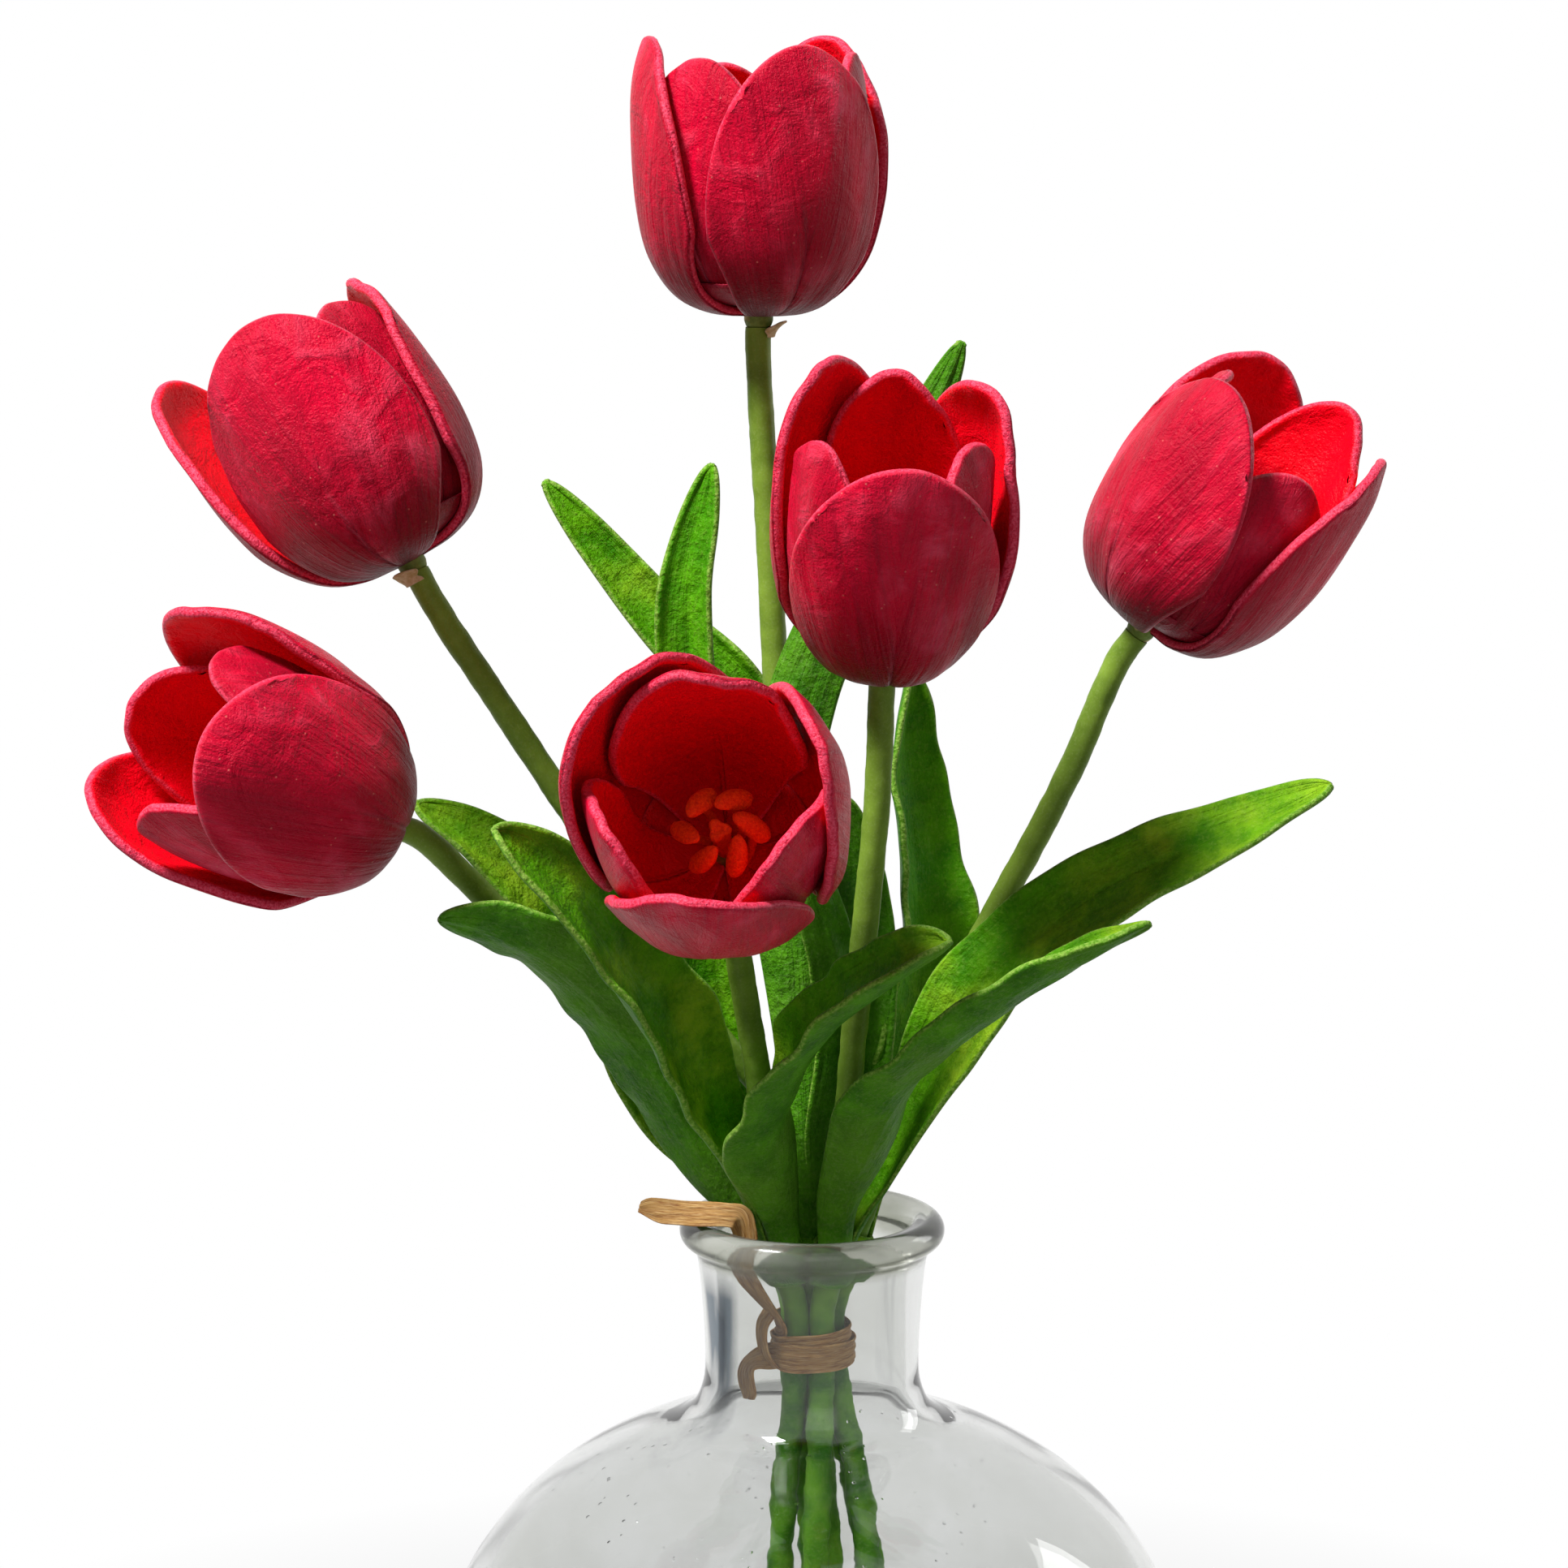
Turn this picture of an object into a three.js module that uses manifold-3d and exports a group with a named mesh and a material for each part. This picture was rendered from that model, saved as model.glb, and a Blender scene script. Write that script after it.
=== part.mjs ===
// Six foam tulips tied with raffia, standing in a round clear glass bottle.
// Millimetres, +Z up, the front faces -Y. The origin is the middle of the bottle's flat base.
import * as THREE from 'three';
import { mergeVertices } from 'three/addons/utils/BufferGeometryUtils.js';
import Module from 'manifold-3d';

const wasm = await Module();
wasm.setup();
const { Manifold, Mesh } = wasm;

// Gap kept between pieces that touch on the real object.
const CLEARANCE = 0.3;

// Bottle.
const BOTTLE_HEIGHT = 131;
const BODY_RADIUS = 69;
const BODY_HALF_HEIGHT = 54;
const BODY_CENTRE_HEIGHT = 42.2;
const BASE_EDGE = 3;
const WALL = 2.8;
const FLOOR = 4.2;
const NECK_RADIUS = 19.6;
const NECK_WALL = 2.6;
const NECK_FLARE = 1.2;
const SHOULDER_FILLET = 4;
const LIP_RADIUS = 24;
const LIP_ROUND = 2.8;

// Stems.
const STEM_DIAMETER = 4.65;
const PIN_DIAMETER = 1.6;
const PIN_LENGTH = 6;
const TIE_DEPTH = 21;
const LIP_RING = 9.3;
const BOTTOM_RING = 9.3;
const BOTTOM_SHIFT = 3.4;
const BOTTOM_TWIST = -45;
const SPREAD_HEIGHT = 62;

// Raffia.
const RAFFIA_WIDTH = 5.2;
const RAFFIA_THICKNESS = 0.5;
const RAFFIA_TURN_GAP = 0.6;

// Leaves.
const LEAF_THICKNESS = 1.1;
const SHEATH_WALL = 0.9;
const SHEATH_CLEARANCE = 0.5;
const SHEATH_LENGTH = 5;
const SHEATH_DEPTH = 9;
const SHEATH_WRAP = 64;

// Flower heads.
const PETAL_THICKNESS = 1.8;
const WHORL_GAP = 1.1;
const HEAD_LENGTH = 49;
const HEAD_RADIUS = 21.9;
const PETAL_HALF_ANGLE = 49;
const PETAL_WIDEST = 0.42;
const PETAL_TIP = 2;
const PLUG_RADIUS = 2.6;
const PLUG_BELOW = 2;
const PLUG_ABOVE = 5;
const PISTIL_RADIUS = 1.7;
const PISTIL_LENGTH = 21;
const ANTHER_RADIUS = 1.8;
const ANTHER_LENGTH = 6;
const STAMEN_RING = 5.6;
const STAMEN_HEIGHT = 17;

const rad = THREE.MathUtils.degToRad;
const lerp = THREE.MathUtils.lerp;
const smooth = THREE.MathUtils.smoothstep;
const vec = (x, y, z) => new THREE.Vector3(x, y, z);
// A point given by its height over the lip.
const over = ([x, y, z]) => vec(x, y, BOTTLE_HEIGHT + z);

// Merges the corners and puts the faces outward.
function tidy(geometry) {
  const bare = new THREE.BufferGeometry();
  bare.setAttribute('position', geometry.getAttribute('position'));
  bare.setIndex(geometry.getIndex());
  const merged = mergeVertices(bare, 1e-4);
  const p = merged.getAttribute('position');
  const index = [...merged.getIndex().array];
  const kept = [];
  let volume = 0;
  const a = vec();
  const b = vec();
  const c = vec();
  for (let i = 0; i < index.length; i += 3) {
    const [i0, i1, i2] = index.slice(i, i + 3);
    if (i0 === i1 || i1 === i2 || i2 === i0) continue;
    kept.push(i0, i1, i2);
    a.fromBufferAttribute(p, i0);
    b.fromBufferAttribute(p, i1);
    c.fromBufferAttribute(p, i2);
    volume += a.dot(b.cross(c));
  }
  if (volume < 0) {
    for (let i = 0; i < kept.length; i += 3) {
      [kept[i], kept[i + 1]] = [kept[i + 1], kept[i]];
    }
  }
  merged.setIndex(kept);
  return merged;
}

function toManifold(geometry) {
  const g = tidy(geometry);
  const mesh = new Mesh({
    numProp: 3,
    vertProperties: new Float32Array(g.getAttribute('position').array),
    triVerts: new Uint32Array(g.getIndex().array),
  });
  mesh.merge();
  return new Manifold(mesh);
}

function fromManifold(solid) {
  const mesh = solid.getMesh();
  const g = new THREE.BufferGeometry();
  g.setAttribute('position', new THREE.BufferAttribute(new Float32Array(mesh.vertProperties), 3));
  g.setIndex([...mesh.triVerts]);
  return tidy(g);
}

// A closed sheet: point(u, v, side) gives both faces, u across from -1 to 1 and v along from 0 to 1.
function sheet(columns, rows, point) {
  const corners = [];
  const faces = [];
  const stride = columns + 1;
  const layer = stride * (rows + 1);
  for (const side of [-1, 1]) {
    for (let j = 0; j <= rows; j += 1) {
      for (let i = 0; i <= columns; i += 1) {
        const q = point((2 * i) / columns - 1, j / rows, side);
        corners.push(q.x, q.y, q.z);
      }
    }
  }
  const quad = (a, b, c, d) => faces.push(a, b, c, a, c, d);
  for (let j = 0; j < rows; j += 1) {
    for (let i = 0; i < columns; i += 1) {
      const a = j * stride + i;
      quad(a, a + 1, a + 1 + stride, a + stride);
      quad(layer + a, layer + a + stride, layer + a + stride + 1, layer + a + 1);
    }
  }
  for (let j = 0; j < rows; j += 1) {
    const left = j * stride;
    const right = left + columns;
    quad(left, left + stride, layer + left + stride, layer + left);
    quad(right, layer + right, layer + right + stride, right + stride);
  }
  const last = rows * stride;
  for (let i = 0; i < columns; i += 1) {
    quad(i, layer + i, layer + i + 1, i + 1);
    quad(last + i, last + i + 1, layer + last + i + 1, layer + last + i);
  }
  const g = new THREE.BufferGeometry();
  g.setAttribute('position', new THREE.Float32BufferAttribute(corners, 3));
  g.setIndex(faces);
  return tidy(g);
}

function lathe(profile, segments) {
  const points = profile.map(([r, z]) => new THREE.Vector2(r, z));
  const g = new THREE.LatheGeometry(points, segments);
  g.rotateX(Math.PI / 2);
  return tidy(g);
}

// A round rod along a curve.
function rod(curve, radius, sides, steps) {
  const outline = new THREE.Shape();
  for (let k = 0; k < sides; k += 1) {
    const a = (2 * Math.PI * (k + 0.5)) / sides;
    const x = radius * Math.cos(a);
    const y = radius * Math.sin(a);
    if (k === 0) outline.moveTo(x, y);
    else outline.lineTo(x, y);
  }
  return tidy(new THREE.ExtrudeGeometry(outline, { steps, extrudePath: curve, bevelEnabled: false }));
}

const spline = (points) => new THREE.CatmullRomCurve3(points, false, 'centripetal');

// Bottle: outside from the base to the lip, then the inside back down to the floor.
function bottle() {
  const outside = (z) => BODY_RADIUS * Math.sqrt(1 - ((z - BODY_CENTRE_HEIGHT) / BODY_HALF_HEIGHT) ** 2);
  const innerRadius = BODY_RADIUS - WALL;
  const innerHalf = BODY_HALF_HEIGHT - WALL;
  const inside = (z) => innerRadius * Math.sqrt(1 - ((z - BODY_CENTRE_HEIGHT) / innerHalf) ** 2);
  const bore = NECK_RADIUS - NECK_WALL;
  const meets = (radius, half, r) => BODY_CENTRE_HEIGHT + half * Math.sqrt(1 - (r / radius) ** 2);
  const shoulder = NECK_RADIUS + SHOULDER_FILLET;
  const outerTop = meets(BODY_RADIUS, BODY_HALF_HEIGHT, shoulder);
  const innerTop = meets(innerRadius, innerHalf, bore + 3);
  const lipCentre = BOTTLE_HEIGHT - LIP_ROUND;
  const lipRing = LIP_RADIUS - LIP_ROUND;
  const profile = [[0, 0], [outside(0) - BASE_EDGE / 2, 0]];
  const steps = 9;
  for (let k = 0; k <= steps; k += 1) {
    const a = lerp(Math.asin((BASE_EDGE - BODY_CENTRE_HEIGHT) / BODY_HALF_HEIGHT),
      Math.asin((outerTop - BODY_CENTRE_HEIGHT) / BODY_HALF_HEIGHT), k / steps);
    profile.push([BODY_RADIUS * Math.cos(a), BODY_CENTRE_HEIGHT + BODY_HALF_HEIGHT * Math.sin(a)]);
  }
  profile.push([NECK_RADIUS + 1.2, outerTop + 1.6]);
  profile.push([NECK_RADIUS + 0.3, outerTop + 4]);
  profile.push([NECK_RADIUS - 0.2, outerTop + 9]);
  profile.push([NECK_RADIUS + NECK_FLARE, lipCentre - 5]);
  for (let k = 0; k <= 6; k += 1) {
    const a = rad(-75 + (k * 165) / 6);
    profile.push([lipRing + LIP_ROUND * Math.cos(a), lipCentre + LIP_ROUND * Math.sin(a)]);
  }
  profile.push([bore + 1.4, BOTTLE_HEIGHT - 0.8]);
  profile.push([bore + 0.3, BOTTLE_HEIGHT - 2.6]);
  profile.push([bore, BOTTLE_HEIGHT - 6]);
  profile.push([bore, innerTop + 4]);
  profile.push([bore + 0.8, innerTop + 1.2]);
  for (let k = 0; k <= steps; k += 1) {
    const a = lerp(Math.asin((innerTop - BODY_CENTRE_HEIGHT) / innerHalf),
      Math.asin((FLOOR + BASE_EDGE - BODY_CENTRE_HEIGHT) / innerHalf), k / steps);
    profile.push([innerRadius * Math.cos(a), BODY_CENTRE_HEIGHT + innerHalf * Math.sin(a)]);
  }
  profile.push([inside(FLOOR + BASE_EDGE) - BASE_EDGE, FLOOR]);
  profile.push([0, FLOOR]);
  return lathe(profile, 32);
}

// Flower heads: base is where the head sits on its stem, tip the way that it looks.
// Each petal has its turn round the head, the angle that it leans out, its width and its length.
const HEADS = [
  { name: 'top', base: [-9.6, 15, 161], tip: [0, 0, 1],
    outer: [[-66, 0, 1, 0.97], [55, 1], [187, 0]],
    inner: [[-8, 0], [115, -1, 1, 0.96], [-127, 0, 1, 0.98]] },
  { name: 'upper_left', base: [-71, 0, 118.6], tip: [-0.47, 0.08, 0.87],
    outer: [[-102, -3, 1.2], [20, -5], [154, 10]],
    inner: [[-36, -5], [80, -5, 1, 0.95], [200, -4, 1, 0.92]] },
  { name: 'right', base: [58.9, 5, 106.4], tip: [0.55, -0.12, 0.82], girth: 0.94,
    outer: [[-139, 0, 1.1, 0.93], [-12, 0, 1.1], [105, 2, 1.1, 1.03]],
    inner: [[-70, -1, 1, 0.84], [51, 0, 1, 1.12], [170, -2]] },
  { name: 'centre', base: [12, -25, 104.5], tip: [0.03, -0.42, 0.91], girth: 0.9,
    outer: [[-86, -2, 1.24, 0.95], [35, 1], [136, -1, 1.06, 1.06]],
    inner: [[-28, -1], [90, 0, 1, 1.05], [-148, -1]] },
  { name: 'front', base: [-14.5, -35, 72], tip: [-0.09, -0.9, 0.43],
    outer: [[-97, 2, 1.06], [14, 1, 1.1], [139, 2, 1.36, 1.03]],
    inner: [[-42, 1, 1.1], [91, 1, 1.2, 1.04], [206, 1, 1.06]] },
  { name: 'lower_left', base: [-75, -15, 74.5], tip: [-0.76, -0.47, 0.42], girth: 0.97,
    outer: [[-58, -1, 1.22, 0.96], [53, 3, 1.06], [168, 1]], inner: [[-5, -1], [110, 1], [-125, -1]] },
];

function headFrame(head) {
  const axis = vec(...head.tip).normalize();
  const turn = new THREE.Quaternion().setFromUnitVectors(vec(0, 0, 1), axis);
  return new THREE.Matrix4().compose(over(head.base), turn, vec(1, 1, 1));
}

// Side view of a petal's middle line: distance from the axis, height.
function petalProfile(girth, inset, long) {
  const r = HEAD_RADIUS * girth - inset;
  const start = PETAL_THICKNESS / 2 + (inset > 0 ? PETAL_THICKNESS + CLEARANCE : 0);
  const rise = (HEAD_LENGTH - start - inset) * long;
  return spline([
    vec(PLUG_RADIUS + CLEARANCE, 0, start),
    vec(r * 0.4, 0, start + rise * 0.012),
    vec(r * 0.65, 0, start + rise * 0.065),
    vec(r * 0.87, 0, start + rise * 0.2),
    vec(r * 0.98, 0, start + rise * 0.4),
    vec(r, 0, start + rise * 0.65),
    vec(r * 0.96, 0, start + rise * 0.86),
    vec(r * 0.85, 0, start + rise),
  ]);
}

// Share of a petal's full angle at v along its length: drawn in a little over the base, then an egg.
function petalOutline(v) {
  const low = v / PETAL_WIDEST;
  if (low < 1) return lerp(0.9, 1, low) - 0.12 * Math.sin(low * Math.PI);
  return Math.sqrt(Math.max(0, 1 - ((v - PETAL_WIDEST) / (1 - PETAL_WIDEST)) ** 2));
}

function petal(head, inset, [turn, lean, wide = 1, long = 1]) {
  const curve = petalProfile(head.girth ?? 1, inset, long);
  const place = headFrame(head).multiply(new THREE.Matrix4().makeRotationZ(rad(turn)));
  return sheet(5, 6, (u, t, side) => {
    const v = 1 - (1 - t) ** 1.25;
    const middle = curve.getPointAt(v);
    const along = curve.getTangentAt(v);
    const narrow = PETAL_TIP / middle.x;
    const angle = Math.max(narrow, rad(PETAL_HALF_ANGLE * wide) * petalOutline(v)) * u;
    const half = (PETAL_THICKNESS / 2) * (1 - 0.25 * u * u);
    const r = middle.x + side * half * along.z;
    const z = middle.z - side * half * along.x;
    const shift = Math.tan(rad(lean)) * z * smooth(z, 0, HEAD_LENGTH * 0.3);
    return vec(r * Math.cos(angle) + shift, r * Math.sin(angle), z).applyMatrix4(place);
  });
}

// Plug, pistil and six stamens in one piece, with a blind hole for the stem's wire.
function core(head) {
  const hole = PIN_DIAMETER / 2 + CLEARANCE;
  const holeTop = PIN_LENGTH - PLUG_BELOW;
  const column = lathe([
    [0, holeTop], [hole, holeTop], [hole, -PLUG_BELOW], [PLUG_RADIUS, -PLUG_BELOW],
    [PLUG_RADIUS, PLUG_ABOVE], [PISTIL_RADIUS, PLUG_ABOVE + 1.2], [PISTIL_RADIUS, PISTIL_LENGTH - 3],
    [PISTIL_RADIUS * 1.5, PISTIL_LENGTH - 1.2], [PISTIL_RADIUS, PISTIL_LENGTH], [0, PISTIL_LENGTH],
  ], 7);
  let solid = toManifold(column);
  for (let k = 0; k < 6; k += 1) {
    const a = rad(60 * k + 20);
    const out = (r, z) => vec(r * Math.cos(a), r * Math.sin(a), z);
    const filament = rod(spline([
      out(PLUG_RADIUS - 1, PLUG_ABOVE - 0.5),
      out(STAMEN_RING * 0.8, PLUG_ABOVE + 5),
      out(STAMEN_RING, STAMEN_HEIGHT),
    ]), 0.6, 3, 2);
    const anther = new THREE.SphereGeometry(ANTHER_RADIUS, 5, 3);
    anther.scale(1, 1, ANTHER_LENGTH / (2 * ANTHER_RADIUS));
    anther.rotateX(rad(k % 2 === 0 ? 20 : -25));
    anther.translate(...out(STAMEN_RING, STAMEN_HEIGHT));
    solid = solid.add(toManifold(filament)).add(toManifold(anther));
  }
  const g = fromManifold(solid);
  g.applyMatrix4(headFrame(head));
  return g;
}

// Stems: turn is the place in the ring of five at the tie, above are points over the lip.
const STEMS = {
  top: { turn: null, above: [[-2, 4, 43], [-6, 9, 87], [-8, 13, 125]] },
  upper_left: { turn: 82, above: [[-5, 11, 15], [-21, 8.5, 36], [-44, 5, 74]] },
  right: { turn: 10, above: [[20, 3, 30], [32, 4, 53], [46, 5, 80]] },
  centre: { turn: -62, above: [[7, -12, 32], [9, -17, 55], [11, -21, 78]] },
  front: { turn: -134, above: [[-10, -13, 31], [-12.5, -20, 48], [-14, -27, 62]] },
  lower_left: { turn: 154, above: [[-26, 5, 20], [-43, -1, 41]] },
};

function ringPoint(name, radius, z, twist = 0) {
  const { turn } = STEMS[name];
  if (turn === null) return vec(0, 0, z);
  return vec(radius * Math.cos(rad(turn + twist)), radius * Math.sin(rad(turn + twist)), z);
}

const TIE_HEIGHT = BOTTLE_HEIGHT - TIE_DEPTH;
const TIE_RING = STEM_DIAMETER + CLEARANCE;

function stemCurve(name) {
  const head = HEADS.find((h) => h.name === name);
  const axis = vec(...head.tip).normalize();
  const end = over(head.base).addScaledVector(axis, -PLUG_BELOW - CLEARANCE);
  const low = [FLOOR + CLEARANCE, SPREAD_HEIGHT].map((z) => {
    const point = ringPoint(name, BOTTOM_RING, z, BOTTOM_TWIST);
    point.x += BOTTOM_SHIFT;
    return point;
  });
  return spline([
    ...low,
    ringPoint(name, TIE_RING, TIE_HEIGHT - 5),
    ringPoint(name, TIE_RING, TIE_HEIGHT + 4.5),
    ringPoint(name, LIP_RING, BOTTLE_HEIGHT),
    ...STEMS[name].above.map(over),
    end.clone().addScaledVector(axis, -6),
    end,
  ]);
}

function stem(name) {
  const head = HEADS.find((h) => h.name === name);
  const axis = vec(...head.tip).normalize();
  const curve = stemCurve(name);
  const end = curve.getPointAt(1);
  const shaft = rod(curve, STEM_DIAMETER / 2, 8, 24);
  const pin = new THREE.LineCurve3(end.clone().addScaledVector(axis, -1),
    end.clone().addScaledVector(axis, PIN_LENGTH));
  return fromManifold(toManifold(shaft).add(toManifold(rod(pin, PIN_DIAMETER / 2, 6, 1))));
}

// Leaves: two blades to a stem. Side is where the blade leaves the stem, seen from above.
// Path is its middle line over the lip, facing the way that its hollow inner face looks at the
// base, the middle and the tip, wide its greatest half width.
const LEAVES = {
  top: [
    { side: -110,
      path: [[-2, -4, 15], [-4, -3, 45], [-6, -2, 71], [-2, -2, 95], [8, -2, 118], [26, 0, 157]],
      middle: [0.2, 1, 0], end: [0.3, 1, 0.2], wide: 6.6, bend: 35 },
    { side: -30,
      path: [[2, -3, 15], [5, -6, 32], [4, -10, 48], [1, -14, 60], [-5, -18, 77], [-13, -21, 100]],
      middle: [-0.5, 1, 0], end: [-0.5, 1, 0.2], wide: 4.6, bend: 30 },
  ],
  upper_left: [
    { side: 60,
      path: [[1, 19, 20], [-3, 24, 45], [-7, 27, 69], [-14, 31, 90], [-27, 33, 103], [-49, 36, 129]],
      middle: [0, -1, 0.1], end: [0.3, -1, 0.3], wide: 6.8, bend: 40 },
    { side: 110,
      path: [[-9, 15.5, 14], [-16, 18, 34], [-21, 18, 71], [-22, 17, 93], [-22, 16, 111], [-18, 16, 134]],
      middle: [-0.2, -1, 0], end: [-0.5, -0.8, 0], wide: 6.6, bend: 45, blunt: 4 },
  ],
  right: [
    { side: 76,
      path: [[12, 10, 10], [18, 16, 28], [20, 21, 45], [19, 25, 60], [17, 27, 80], [18, 28, 95]],
      middle: [0.7, -0.7, 0], end: [0.8, -0.5, 0], wide: 11.5, bend: 52 },
    { side: -170,
      path: [[6, 5, 10], [7, 8, 20], [9, 10, 35], [9, 11, 50], [8, 12, 62], [6, 12, 74]],
      middle: [0.5, 1, 0], end: [0.4, 1, 0], wide: 6.5, bend: 35 },
  ],
  centre: [
    { side: 30,
      path: [[12, -3, 5], [17, -4, 16], [23, -5, 30], [30, -7, 43], [43, -9, 55], [57, -10, 64], [91, -10, 80]],
      middle: [-0.2, -0.7, 0.7], end: [-0.2, -0.6, 0.8], wide: 9.2, bend: 28 },
    { side: -80,
      path: [[5, -14, 5], [9, -19, 15], [15, -26, 28], [26, -33, 40], [40, -38, 51], [57, -40, 61]],
      middle: [-0.4, 0.3, 0.9], end: [-0.3, 0.1, 1], wide: 9.5, bend: 52 },
  ],
  front: [
    { side: 170,
      path: [[-12.5, -7.5, 6], [-17, -13, 17], [-24, -20, 34], [-32, -29, 49], [-41, -37, 64], [-54, -43, 78]],
      middle: [0.55, -0.6, 0.55], end: [0.6, -0.6, 0.5], wide: 11.5, bend: 50 },
    { side: -60,
      path: [[-5, -13, 6], [-6, -21, 19], [-2, -30, 34], [6, -39, 46], [15, -44, 54], [23, -45, 59]],
      middle: [-0.64, -0.2, 0.76], end: [-0.45, -0.4, 1], wide: 12, bend: 56, full: 0.42, blunt: 3 },
  ],
  lower_left: [
    { side: -100,
      path: [[-16, -1, 5], [-22, -3, 16], [-30, -8, 31], [-41, -13, 45], [-53, -17, 54], [-65, -19, 58]],
      middle: [0.3, 0.8, 0.5], end: [0.3, 0.7, 0.7], wide: 10.5, bend: 32, blunt: 3 },
    { side: 95,
      path: [[-14, 10, 4], [-24, 12, 14], [-33, 11, 32], [-44, 8, 51], [-58, 6, 66], [-71, 6, 74]],
      middle: [0.2, -0.9, 0.6], end: [0.3, -0.8, 0.7], wide: 8.5, bend: 28 },
  ],
};

// Where the sheath starts on its stem. The middle stem's sits higher, clear of the ring.
const sheathStart = (name) =>
  BOTTLE_HEIGHT - SHEATH_DEPTH + (STEMS[name].turn === null ? 4.5 : 0);

function stemAt(curve, z) {
  let low = 0;
  let high = 1;
  for (let k = 0; k < 30; k += 1) {
    const middle = (low + high) / 2;
    if (curve.getPointAt(middle).z < z) low = middle;
    else high = middle;
  }
  return { point: curve.getPointAt(low), tangent: curve.getTangentAt(low) };
}

const SHEATH_RADIUS = STEM_DIAMETER / 2 + SHEATH_CLEARANCE + SHEATH_WALL / 2;

function blade(name, leaf, curve) {
  const start = sheathStart(name);
  const out = vec(Math.cos(rad(leaf.side)), Math.sin(rad(leaf.side)), 0);
  const foot = [1, SHEATH_LENGTH / 2, SHEATH_LENGTH].map((h) => {
    const { point, tangent } = stemAt(curve, start + h);
    const away = out.clone().addScaledVector(tangent, -out.dot(tangent)).normalize();
    return point.clone().addScaledVector(away, SHEATH_RADIUS + 0.2);
  });
  const spine = spline([...foot, ...leaf.path.map(over)]);
  const facings = [out.clone().negate(), vec(...leaf.middle).normalize(), vec(...leaf.end).normalize()];
  return sheet(4, 12, (u, t, side) => {
    const v = t < 0.5 ? t : 1 - 2 * (1 - t) ** 2;
    const middle = spine.getPointAt(v);
    const along = spine.getTangentAt(v);
    const facing = v < 0.5
      ? facings[0].clone().lerp(facings[1], smooth(v, 0.08, 0.5))
      : facings[1].clone().lerp(facings[2], v * 2 - 1);
    facing.addScaledVector(along, -facing.dot(along)).normalize();
    const across = along.clone().cross(facing).normalize();
    const grown = smooth(v, 0.04, leaf.full ?? 0.45);
    const tip = Math.sqrt(Math.max(0, 1 - (Math.max(0, v - 0.4) / 0.6) ** (leaf.blunt ?? 2.3)));
    const wide = Math.max(1.3, lerp(SHEATH_RADIUS * rad(SHEATH_WRAP), leaf.wide, grown) * tip);
    const bend = lerp(rad(SHEATH_WRAP), rad(leaf.bend), smooth(v, 0, 0.4));
    const radius = wide / bend;
    const a = bend * u;
    const half = (lerp(SHEATH_WALL, LEAF_THICKNESS, grown) / 2) * (1 - 0.35 * u * u);
    const face = facing.clone().multiplyScalar(Math.cos(a)).addScaledVector(across, -Math.sin(a));
    return middle.clone()
      .addScaledVector(across, radius * Math.sin(a))
      .addScaledVector(facing, radius * (1 - Math.cos(a)))
      .addScaledVector(face, side * half);
  });
}

function leafPair(name) {
  const curve = stemCurve(name);
  const start = sheathStart(name);
  const low = stemAt(curve, start).point;
  const high = stemAt(curve, start + SHEATH_LENGTH).point;
  const inner = STEM_DIAMETER / 2 + SHEATH_CLEARANCE;
  const outer = inner + SHEATH_WALL;
  const length = high.distanceTo(low);
  const ring = lathe([[inner, 0], [outer, 0], [outer, length], [inner, length], [inner, 0]], 10);
  const turn = new THREE.Quaternion().setFromUnitVectors(vec(0, 0, 1), high.clone().sub(low).normalize());
  ring.applyMatrix4(new THREE.Matrix4().compose(low, turn, vec(1, 1, 1)));
  let solid = toManifold(ring);
  for (const leaf of LEAVES[name]) solid = solid.add(toManifold(blade(name, leaf, curve)));
  return fromManifold(solid);
}

// Raffia: one flat strip. The first tail comes over the lip and down to the stems, the strip goes
// about twice round them, each turn outside the last, and leaves as the second tail.
const RAFFIA_START = TIE_RING + STEM_DIAMETER / 2 + CLEARANCE + RAFFIA_THICKNESS / 2;
const RAFFIA_TURNS = 2;
const RAFFIA_FIRST = -150;
const RAFFIA_STEP = RAFFIA_THICKNESS + RAFFIA_TURN_GAP;

function raffiaPoints() {
  const points = [];
  const add = (at, face) => points.push({ at, face: face.normalize() });
  const tail = RAFFIA_WIDTH * 0.35 + CLEARANCE;
  add(over([-31, -6, tail + 0.2]), vec(0, -0.7, 0.7));
  add(over([-22, -8.5, tail]), vec(0, -0.7, 0.7));
  add(over([-16.2, -11, tail + 0.9]), vec(-0.1, -0.8, 0.6));
  add(over([-12.6, -11.1, 1.2]), vec(-0.5, -0.8, 0.3));
  add(over([-11.4, -10.7, -4]), vec(-0.7, -0.7, 0));
  add(over([-10.6, -9.8, -9]), vec(-0.7, -0.7, 0));
  const steps = 40;
  for (let k = 0; k <= steps; k += 1) {
    const t = (RAFFIA_TURNS * k) / steps;
    const a = rad(RAFFIA_FIRST) - t * 2 * Math.PI;
    const r = RAFFIA_START + t * RAFFIA_STEP;
    const z = TIE_HEIGHT + 1.9 - 4.5 * Math.min(t, 1) - 1.2 * Math.max(0, t - 1);
    add(vec(r * Math.cos(a), r * Math.sin(a), z), vec(Math.cos(a), Math.sin(a), 0));
  }
  add(vec(-11.3, -4.6, TIE_HEIGHT - 5.5), vec(-0.9, -0.4, 0.1));
  add(vec(-11.6, -5.4, TIE_HEIGHT - 12), vec(-0.7, -0.7, 0));
  return points;
}

const RAFFIA_PATH = raffiaPoints();
const RAFFIA_LINE = spline(RAFFIA_PATH.map((p) => p.at));
const RAFFIA_FACES = spline(RAFFIA_PATH.map((p) => p.face));

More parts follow.
